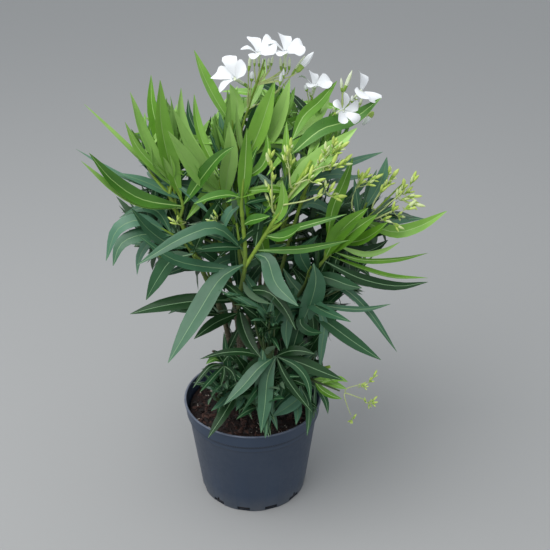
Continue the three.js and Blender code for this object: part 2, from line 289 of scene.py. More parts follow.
def add_node(tree, kind, values=None, **settings):
    """A shader node with its settings, and values for some of its sockets."""
    node = tree.nodes.new(f"ShaderNode{kind}")
    for name, setting in settings.items():
        setattr(node, name, setting)
    for socket, value in (values or {}).items():
        node.inputs[socket].default_value = value
    return node


def link_nodes(tree, *pairs):
    """Links in a shader tree, each from a node's output to a node's input."""
    for source, output, target, socket in pairs:
        tree.links.new(source.outputs[output], target.inputs[socket])


def mottle_group():
    """A shader group: two scales of noise that turn one colour into another, and give the finish."""
    group = bpy.data.node_groups.new("mottle", "ShaderNodeTree")
    kinds = {
        "INPUT": {"Deep": "Color", "Light": "Color", "Size": "Float", "Contrast": "Float",
                  "Gloss": "Float", "Relief": "Float"},
        "OUTPUT": {"Color": "Color", "Roughness": "Float", "Normal": "Vector"},
    }
    for side, sockets in kinds.items():
        for name, kind in sockets.items():
            group.interface.new_socket(name=name, in_out=side, socket_type=f"NodeSocket{kind}")
    entry = group.nodes.new("NodeGroupInput")
    leave = group.nodes.new("NodeGroupOutput")
    place = add_node(group, "TexCoord")
    broad = add_node(group, "TexNoise", {"Detail": 3})
    fine = add_node(group, "TexNoise", {"Detail": 4})
    finer = add_node(group, "Math", {1: 9}, operation="MULTIPLY")
    sharpen = add_node(group, "MapRange", {"From Min": 0.34, "From Max": 0.66})
    fade = add_node(group, "Math", operation="MULTIPLY")
    colour = add_node(group, "Mix", data_type="RGBA")
    rough = add_node(group, "MapRange")
    spread = add_node(group, "Math", {1: 0.16}, operation="ADD")
    bump = add_node(group, "Bump", {"Strength": 1})
    link_nodes(
        group,
        (place, "Object", broad, "Vector"), (place, "Object", fine, "Vector"),
        (entry, "Size", broad, "Scale"), (entry, "Size", finer, 0), (finer, 0, fine, "Scale"),
        (broad, 0, sharpen, "Value"), (sharpen, 0, fade, 0), (entry, "Contrast", fade, 1),
        (fade, 0, colour, "Factor"), (entry, "Deep", colour, "A"), (entry, "Light", colour, "B"),
        (entry, "Gloss", rough, "To Min"), (entry, "Gloss", spread, 0), (spread, 0, rough, "To Max"),
        (fine, 0, rough, "Value"), (fine, 0, bump, "Height"), (entry, "Relief", bump, "Distance"),
        (colour, "Result", leave, "Color"), (rough, 0, leave, "Roughness"), (bump, 0, leave, "Normal"),
    )
    return group


MOTTLE = mottle_group()


def finish(name, deep, light, size=60, contrast=1, gloss=0.4, relief=0.0002):
    """A material whose colour, gloss and fine relief come from the mottle group."""
    material = bpy.data.materials.new(name)
    material.use_nodes = True
    tree = material.node_tree
    skin = tree.nodes["Principled BSDF"]
    values = {"Deep": deep, "Light": light, "Size": size, "Contrast": contrast,
              "Gloss": gloss, "Relief": relief}
    mottle = add_node(tree, "Group", values, node_tree=MOTTLE, name="mottle")
    link_nodes(tree, (mottle, "Color", skin, "Base Color"), (mottle, "Roughness", skin, "Roughness"),
               (mottle, "Normal", skin, "Normal"))
    return material


def lay_over(tree, colour, mask):
    """Blends a colour over a material's own by a mask."""
    skin = tree.nodes["Principled BSDF"]
    under = skin.inputs["Base Color"].links[0].from_socket
    mix = add_node(tree, "Mix", {"B": colour}, data_type="RGBA")
    tree.links.new(under, mix.inputs["A"])
    link_nodes(tree, (mask, 0, mix, "Factor"), (mix, "Result", skin, "Base Color"))


def over_height(material, colour, low, high, amount):
    """Blends a colour over a material's own between two heights, broken by noise: dust, young wood's
    green, and the lip's wear and painted highlight.
    """
    tree = material.node_tree
    place = add_node(tree, "TexCoord")
    split = add_node(tree, "SeparateXYZ")
    ramp = add_node(tree, "MapRange", {"From Min": low, "From Max": high, "To Max": amount})
    noise = add_node(tree, "TexNoise", {"Scale": 45, "Detail": 5})
    patch = add_node(tree, "Math", operation="MULTIPLY")
    link_nodes(tree, (place, "Object", split, 0), (place, "Object", noise, "Vector"),
               (split, "Z", ramp, "Value"), (ramp, 0, patch, 0), (noise, 0, patch, 1))
    lay_over(tree, colour, patch)


def at_height(material, colour, height, spread, amount):
    """Blends a colour over a material's own in a thin band round a height."""
    tree = material.node_tree
    place = add_node(tree, "TexCoord")
    split = add_node(tree, "SeparateXYZ")
    away = add_node(tree, "Math", {1: height}, operation="SUBTRACT")
    off = add_node(tree, "Math", operation="ABSOLUTE")
    ramp = add_node(tree, "MapRange", {"From Max": spread, "To Min": amount, "To Max": 0})
    link_nodes(tree, (place, "Object", split, 0), (split, "Z", away, 0), (away, 0, off, 0),
               (off, 0, ramp, "Value"))
    lay_over(tree, colour, ramp)


plastic = finish("pot_plastic", PLASTIC_BLUE, PLASTIC_WORN, size=14, contrast=0.22, gloss=0.36,
                 relief=0.00006)
over_height(plastic, PLASTIC_DUST, DUST_TOP, 0, amount=0.55)
# The paler lip: partly wear and partly a painted highlight, the glossy rim's reflection of the sky.
over_height(plastic, PLASTIC_LIP_WEAR_AND_HIGHLIGHT, POT_HEIGHT - LIP_WEAR_AND_HIGHLIGHT_DEPTH, POT_HEIGHT, amount=1.4)
# Painted shade: a dark line under the band, where its overhang shades the wall, and a fainter one along
# the ledge.
at_height(plastic, PLASTIC_PAINTED_SHADE, band_foot - BAND_SHADE_DROP, BAND_SHADE_SPREAD, amount=0.95)
at_height(plastic, PLASTIC_PAINTED_SHADE, ledge_height, LEDGE_SHADE_SPREAD, amount=0.45)
pot.data.materials.append(plastic)
# The faces inside the drain slots get a near-black finish: painted shade, for the shadow under the pot.
pot.data.materials.append(finish("pot_slots_painted_shade", PLASTIC_PAINTED_SHADE, PLASTIC_PAINTED_SHADE, gloss=0.7))
for polygon in pot.data.polygons:
    reach = math.hypot(polygon.center.x, polygon.center.y)
    if polygon.center.z < NOTCH_HEIGHT and POT_BASE_RADIUS / 2 < reach < POT_BASE_RADIUS - SLOT_SKIN:
        polygon.material_index = 1
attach(pot, "root")
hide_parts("pot")


# The compost: a bark and peat mix that fills the pot to a finger's width under the rim. It is dark
# and moist, lumpy on top, with chips of bark lying loose on it, and a few pale flecks that are painted
# highlights, glints on its moist surface.
COMPOST_SIDES = 96
COMPOST_RINGS = 12
COMPOST_GAP = 0.0005
COMPOST_DOME = 0.003
DOME_RISE = 0.7
FACING_UP = 0.9
TOP_SLACK = 0.001
EDGE_KEPT = 0.002
COMPOST_PATTERN = (("lumps", 0.022, 0.007), ("crumbs", 0.004, 0.0035))
COMPOST_SMOOTH = 50
COMPOST_BROWN = (0.011, 0.006, 0.005, 1)
COMPOST_RED = (0.030, 0.012, 0.009, 1)

compost_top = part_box("compost")[1].z
compost_edge = compost_top - COMPOST_DOME
compost_foot = POT_FLOOR + COMPOST_GAP
compost_radius = body_radius - POT_WALL - COMPOST_GAP
foot_radius = wall_radius(POT_FLOOR) - POT_WALL - COMPOST_GAP
widen = compost_radius / foot_radius

bpy.ops.object.select_all(action="DESELECT")
bpy.ops.mesh.primitive_cylinder_add(
    vertices=COMPOST_SIDES, radius=foot_radius, depth=compost_edge - compost_foot,
    location=(0, 0, (compost_edge + compost_foot) / 2),
)
bpy.ops.object.transform_apply(location=True, rotation=False, scale=False)
compost = bpy.context.object
compost.name = "potting_compost"
bpy.ops.object.mode_set(mode="EDIT")
bpy.ops.mesh.select_all(action="DESELECT")
bpy.ops.object.mode_set(mode="OBJECT")
for polygon in compost.data.polygons:
    polygon.select = polygon.normal.z > FACING_UP
bpy.ops.object.mode_set(mode="EDIT")
bpy.ops.mesh.select_mode(type="FACE")
bpy.ops.transform.resize(value=(widen, widen, 1), center_override=(0, 0, 0))
for _ in range(COMPOST_RINGS):
    bpy.ops.mesh.inset(thickness=compost_radius / (COMPOST_RINGS + 1))
    bpy.ops.transform.translate(value=(0, 0, (compost_top - compost_edge) / COMPOST_RINGS * DOME_RISE))
bpy.ops.object.mode_set(mode="OBJECT")
top_group = compost.vertex_groups.new(name="top")
inside = [v.index for v in compost.data.vertices if v.co.z > compost_edge - TOP_SLACK
          and math.hypot(v.co.x, v.co.y) < compost_radius - EDGE_KEPT]
top_group.add(inside, 1, "REPLACE")


def raise_relief(piece, subdivision, patterns, smooth, **settings):
    """Makes a piece's mesh finer and raises patterns of noise on it, then applies both."""
    finer = piece.modifiers.new("finer", "SUBSURF")
    finer.levels = 2
    finer.render_levels = 2
    finer.subdivision_type = subdivision
    for name, size, strength in patterns:
        pattern = bpy.data.textures.new(f"{piece.name}_{name}", "CLOUDS")
        pattern.noise_scale = size
        relief = piece.modifiers.new(name, "DISPLACE")
        relief.texture = pattern
        relief.strength = strength
        for setting, value in settings.items():
            setattr(relief, setting, value)
    for modifier in [m.name for m in piece.modifiers]:
        bpy.ops.object.modifier_apply(modifier=modifier)
    bpy.ops.object.shade_smooth_by_angle(angle=math.radians(smooth))


raise_relief(compost, "SIMPLE", COMPOST_PATTERN, COMPOST_SMOOTH, direction="Z", vertex_group="top")
compost.data.materials.append(
    finish("compost", COMPOST_BROWN, COMPOST_RED, size=90, gloss=0.75, relief=0.0012))
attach(compost, "root")
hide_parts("compost")




# Loose on the compost: chips of composted bark, and a few pale flecks that are painted highlights,
# glints on the moist compost. Each is a small wedge, scattered flat. They are joined, as they are many.
CHIP_COUNT = 900
FLECK_COUNT = 70
CHIP_SEED = 11
CHIP_SPARE = 0.006
CHIP_LENGTHS = (0.003, 0.011)
FLECK_LENGTHS = (0.002, 0.005)
CHIP_WIDTHS = (0.25, 0.7)
CHIP_THICKS = (0.0006, 0.0022)
CHIP_TILT = 0.4
CHIP_LEAN = 0.3
CHIP_LIFT = 0.3
CHIP_RINGS = ((-0.5, 0.45), (-0.2, 1.0), (0.25, 0.9), (0.5, 0.3))
CHIP_RED_SHARE = 0.45
LOOK_DOWN_FROM = 0.05
CHIP_TINTS = (
    ("chip_dark", (0.013, 0.007, 0.006, 1), (0.024, 0.012, 0.009, 1)),
    ("chip_red", (0.050, 0.019, 0.013, 1), (0.088, 0.035, 0.024, 1)),
    # The flecks' pale colour is painted highlight.
    ("fleck_painted_highlight", (0.40, 0.34, 0.27, 1), (0.60, 0.55, 0.48, 1)),
)


def unit(vector):
    """A vector of the same direction, one long."""
    return vector / np.linalg.norm(vector)


def new_store():
    """An empty collection of points and faces, to be joined into one mesh."""
    return {"points": [], "faces": [], "tints": [], "count": 0}


def add_rings(store, rings, tints):
    """Joins rings of points into one closed solid. Each place round the ring has its own tint."""
    rings = np.asarray(rings)
    steps, sides = rings.shape[:2]
    start = store["count"]
    store["points"].extend(rings.reshape(-1, 3))
    store["count"] += steps * sides
    for step in range(steps - 1):
        for side in range(sides):
            a = start + step * sides + side
            b = start + step * sides + (side + 1) % sides
            store["faces"].append((a, b, b + sides, a + sides))
            store["tints"].append(tints[side])
    store["faces"].append(tuple(range(start + sides - 1, start - 1, -1)))
    store["tints"].append(tints[0])
    last = start + (steps - 1) * sides
    store["faces"].append(tuple(range(last, last + sides)))
    store["tints"].append(tints[0])


def joined_piece(store, name, materials, replaced, smooth=35):
    """One object from a collection: its faces turned outwards, smooth but for its sharp edges."""
    mesh = bpy.data.meshes.new(name)
    mesh.from_pydata([tuple(p) for p in store["points"]], [], store["faces"])
    for material in materials:
        mesh.materials.append(material)
    mesh.polygons.foreach_set("material_index", store["tints"])
    mesh.update()
    piece = bpy.data.objects.new(name, mesh)
    bpy.context.scene.collection.objects.link(piece)
    select_only(piece)
    bpy.ops.object.mode_set(mode="EDIT")
    turn_outwards()
    bpy.ops.object.shade_smooth_by_angle(angle=math.radians(smooth))
    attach(piece, "root")
    if replaced:
        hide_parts(*replaced)


def compost_height(x, y):
    """The height of the compost's upper surface at a place, from the mesh itself."""
    hit, spot, _, _ = compost.ray_cast((x, y, compost_top + LOOK_DOWN_FROM), (0, 0, -1))
    return spot[2] if hit else compost_edge


chips = new_store()
chip_random = random.Random(CHIP_SEED)
for index in range(CHIP_COUNT + FLECK_COUNT):
    pale = index >= CHIP_COUNT
    reach = (compost_radius - CHIP_SPARE) * math.sqrt(chip_random.random())
    bearing = chip_random.uniform(0, 2 * math.pi)
    x, y = reach * math.cos(bearing), reach * math.sin(bearing)
    length = chip_random.uniform(*(FLECK_LENGTHS if pale else CHIP_LENGTHS))
    width = length * chip_random.uniform(*CHIP_WIDTHS)
    thick = chip_random.uniform(*CHIP_THICKS)
    heading = chip_random.uniform(0, 2 * math.pi)
    tilt = chip_random.uniform(-CHIP_TILT, CHIP_TILT)
    along = np.array((math.cos(heading) * math.cos(tilt), math.sin(heading) * math.cos(tilt),
                      math.sin(tilt)))
    lean = [chip_random.uniform(-CHIP_LEAN, CHIP_LEAN) for _ in range(2)]
    across = unit(np.cross((*lean, 1), along))
    up = np.cross(along, across)
    height = compost_height(x, y) + thick * CHIP_LIFT + abs(math.sin(tilt)) * length * CHIP_LIFT
    centre = np.array((x, y, height))
    rings = []
    for step, share in CHIP_RINGS:
        middle = centre + along * step * length
        wide = across * width / 2 * share
        high = up * thick / 2 * share
        rings.append((middle - wide, middle + high, middle + wide, middle - high))
    tint = 2 if pale else int(chip_random.random() < CHIP_RED_SHARE)
    add_rings(chips, rings, [tint] * 4)
chip_finishes = [finish(name, deep, light, size=160, gloss=0.6, relief=0.0004)
                 for name, deep, light in CHIP_TINTS]
joined_piece(chips, "compost_chips", chip_finishes, (), smooth=20)


# The stem and boughs: a short woody stem, flared at its foot, and the seven boughs that leave it. The
# others fork from these. Grey-brown bark with rings of leaf scars, green on the younger wood.
WAY_POINTS = 120
CURVE_STEPS = 24
SHORTEST_SPAN = 1e-6
BARK_STEP = 0.004
NODE_SPACING = 0.026
NODE_SWELL = 0.13
NODE_WIDTH = 0.13
BARK_FIT = 0.96
STEM_SIDES = 28
# The stem's radius, in shares of the one at its foot and then at its neck, at shares of its height.
STEM_FLARE = ((1, 0), (0.88, 0.08), (0.76, 0.2))
STEM_TRUNK = ((1.06, 0.4), (1, 0.58), (0.96, 0.76), (0.84, 0.9), (0.5, 1.0), (0.15, 1.02))
STEM_FURROWS = 0.0028
BOUGH_FURROWS = 0.0008
GREEN_FURROWS = 0.0003
BARK_PATTERN = (("furrows", 0.0035, 1), ("knots", 0.011, 0.8))
BARK_SMOOTH = 60
STEM_FOOT_RADIUS = 0.021
STEM_NECK_RADIUS = 0.0135
SHOULDER_REACH = 0.022
CENTRE_REACH = 0.002
SHOULDER_RISE = 0.020
BARK_BROWN = (0.085, 0.062, 0.040, 1)
BARK_GREY = (0.20, 0.165, 0.115, 1)
BARK_GREEN = (0.105, 0.160, 0.040, 1)
STEM_GREEN = (0.26, 0.41, 0.045, 1)
STEM_LIME = (0.38, 0.55, 0.075, 1)
GREEN_FROM = 0.29
GREEN_TO = 0.40
LIME_FROM = 0.38
LIME_TO = 0.48

stem_low, stem_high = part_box("stem")
stem_height = stem_high.z - stem_low.z

# Each bough: what it leaves and where, its way, and its radius at foot and tip.
BOUGHS = {
    "bough_left": ("stem", 0.3, ((-0.042, -0.014, 0.320), (-0.080, -0.018, 0.430),
                                 (-0.114, -0.020, 0.530)), 0.0050, 0.0034),
    "bough_centre": ("stem", 0.7, ((-0.006, 0.003, 0.320), (-0.020, 0.006, 0.460),
                                   (-0.016, 0.008, 0.590), (0.022, 0.002, 0.716)), 0.0050, 0.0013),
    "bough_front": ("stem", 0.3, ((-0.014, -0.038, 0.280), (-0.017, -0.054, 0.372),
                                  (-0.006, -0.068, 0.448), (-0.010, -0.074, 0.540)), 0.0050, 0.0030),
    "bough_right": ("stem", 0.3, ((0.046, -0.028, 0.310), (0.096, -0.046, 0.425),
                                  (0.160, -0.048, 0.500), (0.216, -0.028, 0.552)), 0.0050, 0.0012),
    "bough_top_right": ("stem", 0.3, ((0.036, 0.010, 0.340), (0.062, 0.012, 0.460),
                                      (0.096, 0.008, 0.570), (0.138, 0, 0.660)), 0.0050, 0.0013),
    "bough_back_right": ("stem", 0.3, ((0.018, 0.046, 0.330), (0.054, 0.084, 0.450),
                                       (0.084, 0.108, 0.560)), 0.0050, 0.0030),
    "bough_back_left": ("stem", 0.3, ((-0.028, 0.036, 0.320), (-0.058, 0.078, 0.450),
                                      (-0.078, 0.104, 0.560)), 0.0050, 0.0030),
    "bough_front_right": ("bough_front", 0.74, ((0.027, -0.080, 0.504), (0.062, -0.082, 0.566),
                                                (0.084, -0.080, 0.604)), 0.0032, 0.0024),
    "bough_back": ("bough_back_right", 0.30, ((0.012, 0.084, 0.350), (0.016, 0.112, 0.390),
                                              (0.016, 0.140, 0.440)), 0.0036, 0.0028),
    "bough_low_left": ("bough_left", 0.17, ((-0.054, -0.020, 0.262), (-0.061, -0.021, 0.268)),
                       0.0032, 0.0018),
    "bough_low_right": ("bough_right", 0.12, ((0.052, -0.034, 0.232), (0.084, -0.050, 0.250),
                                              (0.120, -0.056, 0.262)), 0.0036, 0.0026),
    "bough_low_front": ("bough_front", 0.14, ((0.012, -0.050, 0.240), (0.022, -0.072, 0.270),
                                              (0.028, -0.096, 0.300)), 0.0034, 0.0026),
    "bough_low_back": ("bough_back_right", 0.12, ((0.030, 0.038, 0.232), (0.050, 0.056, 0.246),
                                                  (0.076, 0.078, 0.262)), 0.0034, 0.0026),
}
GREEN_BOUGHS = ("bough_front_right", "bough_low_right")


def smooth_way(points, count, shares=None):
    """Points along a centripetal curve through given points, evenly spaced or at given shares."""
    points = np.asarray(points, float)
    ends = (2 * points[0] - points[1], 2 * points[-1] - points[-2])
    held = np.vstack((ends[0], points, ends[1]))
    gaps = np.sqrt(np.maximum(np.linalg.norm(np.diff(held, axis=0), axis=1), SHORTEST_SPAN))
    fine = []
    for i in range(1, len(held) - 2):
        before, here, after, beyond = held[i - 1:i + 3]
        d0, d1, d2 = gaps[i - 1:i + 2]
        lead = ((here - before) / d0 - (after - before) / (d0 + d1) + (after - here) / d1) * d1
        trail = ((after - here) / d1 - (beyond - here) / (d1 + d2) + (beyond - after) / d2) * d1
        t = np.linspace(0, 1, CURVE_STEPS, endpoint=False)[:, None]
        fine.append((2 * t**3 - 3 * t**2 + 1) * here + (t**3 - 2 * t**2 + t) * lead
                    + (3 * t**2 - 2 * t**3) * after + (t**3 - t**2) * trail)
    fine = np.vstack((*fine, held[-2]))
    run = np.concatenate(((0,), np.cumsum(np.linalg.norm(np.diff(fine, axis=0), axis=1))))
    wanted = np.linspace(0, 1, count) if shares is None else np.asarray(shares)
    return np.stack([np.interp(wanted * run[-1], run, fine[:, k]) for k in range(3)], axis=1)


carriers = {}
for name, (parent, share, way, foot_radius, tip_radius) in BOUGHS.items():
    if parent == "stem":
        start = np.array((0, 0, stem_low.z + stem_height * share))
        outward = unit(np.array((way[0][0], way[0][1], 0)))
        reach = CENTRE_REACH if name == "bough_centre" else SHOULDER_REACH
        shoulder = start + outward * reach + np.array((0, 0, SHOULDER_RISE))
        carriers[name] = smooth_way((start, shoulder, *way), WAY_POINTS)
    else:
        start = carriers[parent][round(share * (WAY_POINTS - 1))]
        carriers[name] = smooth_way((start, *way), WAY_POINTS)

bark = finish("bark", BARK_BROWN, BARK_GREY, size=220, gloss=0.7, relief=0.0006)
over_height(bark, BARK_GREEN, GREEN_FROM, GREEN_TO, amount=1.9)
over_height(bark, STEM_GREEN, LIME_FROM, LIME_TO, amount=1.9)
green_bark = finish("green_stem", STEM_GREEN, STEM_LIME, size=120, gloss=0.42, relief=0.0002)

bpy.ops.object.select_all(action="DESELECT")
bpy.ops.mesh.primitive_circle_add(
    vertices=STEM_SIDES, radius=STEM_FOOT_RADIUS, fill_type="NGON", location=(0, 0, stem_low.z))
bpy.ops.object.transform_apply(location=True, rotation=False, scale=False)
stem = bpy.context.object
stem.name = "woody_stem"
flare = [(STEM_FOOT_RADIUS * share, height) for share, height in STEM_FLARE]
trunk = [(STEM_NECK_RADIUS * share, height) for share, height in STEM_TRUNK]
extrude_profile(flare + trunk, stem_height)


def add_bark_relief(limb, strength):
    """Raises furrows and knots on a limb."""
    select_only(limb)
    patterns = [(label, size, strength * share) for label, size, share in BARK_PATTERN]
    raise_relief(limb, "CATMULL_CLARK", patterns, BARK_SMOOTH)


add_bark_relief(stem, STEM_FURROWS)
stem.data.materials.append(bark)
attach(stem, "root")
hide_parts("stem")

for name, (parent, share, way, foot_radius, tip_radius) in BOUGHS.items():
    centre_line = carriers[name]
    run = np.concatenate(((0,), np.cumsum(np.linalg.norm(np.diff(centre_line, axis=0), axis=1))))
    count = int(run[-1] / BARK_STEP)
    places = np.linspace(0, run[-1], count)
    curve = bpy.data.curves.new(name, "CURVE")
    curve.dimensions = "3D"
    curve.bevel_depth = 1
    curve.bevel_resolution = 2
    curve.use_fill_caps = True
    spline = curve.splines.new("POLY")
    spline.points.add(count - 1)
    for point, place in zip(spline.points, places):
        spot = [np.interp(place, run, centre_line[:, k]) for k in range(3)]
        near_node = abs((place / NODE_SPACING) % 1 - 0.5)
        swell = 1 + NODE_SWELL * math.exp(-((near_node / NODE_WIDTH) ** 2))
        taper = foot_radius + (tip_radius - foot_radius) * place / run[-1]
        point.co = (*spot, 1)
        point.radius = taper * swell * BARK_FIT
    limb = bpy.data.objects.new(f"bark_{name}", curve)
    bpy.context.scene.collection.objects.link(limb)
    select_only(limb)
    bpy.ops.object.convert(target="MESH")
    limb = bpy.context.object
    green = name in GREEN_BOUGHS
    add_bark_relief(limb, GREEN_FURROWS if green else BOUGH_FURROWS)
    limb.data.materials.clear()
    limb.data.materials.append(green_bark if green else bark)
    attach(limb, "root")
    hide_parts(name)




# The shoots: green stems as thick as a pencil lead that grow on from the boughs and carry the leaves.
# These are the ones the photograph shows, from a bough (and a share of its length) to a tip. Each
# place on the way is a pixel across, a pixel down and a depth in metres.
SHOOT_FOOT_RADIUS = 0.0026
SHOOT_TIP_RADIUS = 0.0013
SHOOT_PLACES = 60
TUBE_HINT = (0.3, 0.5, 0.81)
SHOOTS_SEEN = {
    "top left": ("bough_left", 0.90, ((183, 206, -0.020), (175, 186, -0.022), (165, 162, -0.024))),
    "centre left": ("bough_centre", 0.52, ((227, 205, -0.010), (221, 190, -0.014), (219, 174, -0.016))),
    "front": ("bough_front", 0.99, ((242, 196, -0.076), (243.5, 176, -0.078))),
    "centre top": ("bough_centre", 0.66, ((247, 158, -0.004), (253, 140, -0.008))),
    "centre back": ("bough_centre", 0.74, ((233, 128, 0.014), (231, 112, 0.018))),
    "top right inner": ("bough_front_right", 0.42, ((285, 185, -0.070), (288, 160, -0.066),
                                                    (292, 138, -0.062))),
    "right upright": ("bough_right", 0.66, ((327, 240, -0.046), (331, 222, -0.046))),
    "right outer": ("bough_right", 0.80, ((362, 214, -0.040), (368, 200, -0.036))),
    "left arm": ("bough_left", 0.66, ((184, 243, -0.030), (168, 232, -0.036), (152, 224, -0.038))),
    "left front arm": ("bough_left", 0.54, ((203, 262, -0.052), (190, 252, -0.066))),
    "middle left": ("bough_front", 0.56, ((233, 302, -0.066), (229, 297, -0.078))),
    "middle right": ("bough_right", 0.42, ((306, 281, -0.052), (309, 270, -0.064), (314, 263, -0.072))),
    "low right arm": ("bough_right", 0.36, ((306, 309, -0.050), (314, 303, -0.062))),
    "low front": ("bough_low_front", 0.98, ((276, 356, -0.100),)),
    "low left small": ("bough_left", 0.16, ((226, 372, -0.052), (223, 362, -0.058))),
    "low right": ("bough_low_right", 0.55, ((312, 380, -0.082), (330, 387, -0.094), (345, 393, -0.100))),
    "skirt left": ("bough_front", 0.07, ((243, 392, -0.052), (237, 388, -0.070))),
    "skirt right": ("bough_right", 0.07, ((286, 388, -0.050), (300, 386, -0.072))),
}

shoots = {}
for name, (parent, share, way) in SHOOTS_SEEN.items():
    foot = carriers[parent][round(share * (WAY_POINTS - 1))]
    shoots[name] = smooth_way([foot] + [seen(*place) for place in way], SHOOT_PLACES)
carriers.update(shoots)


def add_tube(store, way, foot_radius, tip_radius, sides=6, tint=0):
    """A tapered stalk along a way, closed at both ends."""
    count = len(way)
    tangents = np.gradient(way, axis=0)
    side = unit(np.cross(tangents[0], TUBE_HINT))
    rings = []
    for place in range(count):
        along = unit(tangents[place])
        side = unit(side - along * (side @ along))
        other = np.cross(along, side)
        radius = foot_radius + (tip_radius - foot_radius) * place / (count - 1)
        angles = np.arange(sides) * 2 * math.pi / sides
        rings.append(way[place] + radius * (np.outer(np.cos(angles), side)
                                            + np.outer(np.sin(angles), other)))
    add_rings(store, rings, [tint] * sides)


# The leaves: leathery lances, whorled in threes, 10 to 17 cm long, with a pale midrib. The young
# ones at the tips are a bright yellow-green and stand up; the old are blue-green, and arch and hang.
LEAF_LENGTHS = (0, 0.045, 0.13, 0.25, 0.40, 0.55, 0.70, 0.83, 0.93, 1)
LEAF_WIDTHS = (0.10, 0.15, 0.47, 0.82, 1, 0.99, 0.82, 0.54, 0.25, 0.03)
FINE_STATIONS = (0, 0.045, 0.11, 0.19, 0.27, 0.35, 0.43, 0.52, 0.61, 0.70, 0.79, 0.87, 0.94, 1)
PLAIN_STATIONS = (0, 0.05, 0.17, 0.34, 0.55, 0.76, 0.91, 1)
RIB_WIDTH = 0.0015
RIB_TAPER = 0.6
RIB_MOST = 0.45
RIB_RISE = 0.0001
LEAF_SHOULDER = 0.55
LEAF_THICKNESS = 0.0007
KEEL_FOOT = 1.2
RIPPLE_PACE = 11
SEEN_TWIST = 6
SEEN_FACE_UP = 0.7
BLADE_ROWS = 56
OUTER_SHARE = 0.75
# Each kind has four upper-side tints, a to d, from dark to light, partly the leaves' own tones and partly
# painted light: the darkest is painted shade for leaves deep in the crown, the lightest a painted glow on
# backlit young leaves and painted sky sheen on old ones.
LEAF_KINDS = {
    "young": {"fold": 22, "bulge": 0.05, "tops_shaded_to_lit": (
        ((0.056, 0.180, 0.018, 1), (0.086, 0.245, 0.026, 1)),
        ((0.100, 0.270, 0.015, 1), (0.145, 0.350, 0.022, 1)),
        ((0.190, 0.420, 0.050, 1), (0.250, 0.500, 0.070, 1)),
        ((0.320, 0.580, 0.130, 1), (0.400, 0.660, 0.170, 1)),
    ), "under": ((0.190, 0.370, 0.075, 1), (0.250, 0.440, 0.110, 1)),
        "rib": ((0.32, 0.55, 0.15, 1), (0.42, 0.63, 0.21, 1)), "gloss": 0.34},
    "mature": {"fold": 9, "bulge": 0.07, "tops_shaded_to_lit": (
        ((0.013, 0.048, 0.014, 1), (0.020, 0.068, 0.020, 1)),
        ((0.019, 0.076, 0.028, 1), (0.030, 0.104, 0.040, 1)),
        ((0.037, 0.124, 0.060, 1), (0.056, 0.162, 0.082, 1)),
        ((0.080, 0.206, 0.122, 1), (0.106, 0.248, 0.154, 1)),
    ), "under": ((0.085, 0.160, 0.085, 1), (0.120, 0.205, 0.115, 1)),
        "rib": ((0.16, 0.29, 0.14, 1), (0.21, 0.36, 0.18, 1)), "gloss": 0.33},
}
DARK_SHINE = 0.25
UNDER_TINT = 4
RIB_TINT = 5

leaf_finishes = {}
for kind, look in LEAF_KINDS.items():
    leaf_finishes[kind] = [
        *(finish(f"{kind}_leaf_{letter}", deep, light, size=26, gloss=look["gloss"], relief=0.00018)
          for letter, (deep, light) in zip("abcd", look["tops_shaded_to_lit"])),
        finish(f"{kind}_leaf_under", *look["under"], size=40, gloss=0.55, relief=0.00015),
        finish(f"{kind}_leaf_rib", *look["rib"], size=90, gloss=0.4, relief=0.0001),
    ]
for material in leaf_finishes["mature"][:2]:
    material.node_tree.nodes["Principled BSDF"].inputs["Specular IOR Level"].default_value = DARK_SHINE


def leaf_rings(way, stations, width, face, kind, turn=0, twist=0, wave=0):
    """The rings of points of a leaf: a folded blade on a midline, with a raised rib and a keel."""
    look = LEAF_KINDS[kind]
    fold = math.tan(math.radians(look["fold"]))
    tangents = np.gradient(way, axis=0)
    normal = np.asarray(face, float)
    rings = []
    for place, station in enumerate(stations):
        share = np.interp(station, LEAF_LENGTHS, LEAF_WIDTHS)
        along = unit(tangents[place])
        normal = unit(normal - along * (normal @ along))
        angle = math.radians(turn + twist * station)
        upper = normal * math.cos(angle) + np.cross(along, normal) * math.sin(angle)
        side = np.cross(along, upper)
        half = width / 2 * share
        rib = min(RIB_WIDTH / 2 * (1 - RIB_TAPER * station), half * RIB_MOST)
        ripple = wave * half * math.sin(station * RIPPLE_PACE)
        middle = way[place]
        shoulder = side * (half * LEAF_SHOULDER)
        rise = upper * (half * (LEAF_SHOULDER * fold + look["bulge"]))
        rings.append((
            middle + side * half + upper * (half * fold + ripple),
            middle + shoulder + rise,
            middle + side * rib + upper * RIB_RISE,
            middle - side * rib + upper * RIB_RISE,
            middle - shoulder + rise,
            middle - side * half + upper * (half * fold - ripple),
            middle - upper * LEAF_THICKNESS * (KEEL_FOOT - station),
        ))
    return np.array(rings)


def leaf_tints(tint):
    """The tints round a leaf's ring: its upper side in three strips, then its underside."""
    return [tint, tint, RIB_TINT, tint, tint, UNDER_TINT, UNDER_TINT]
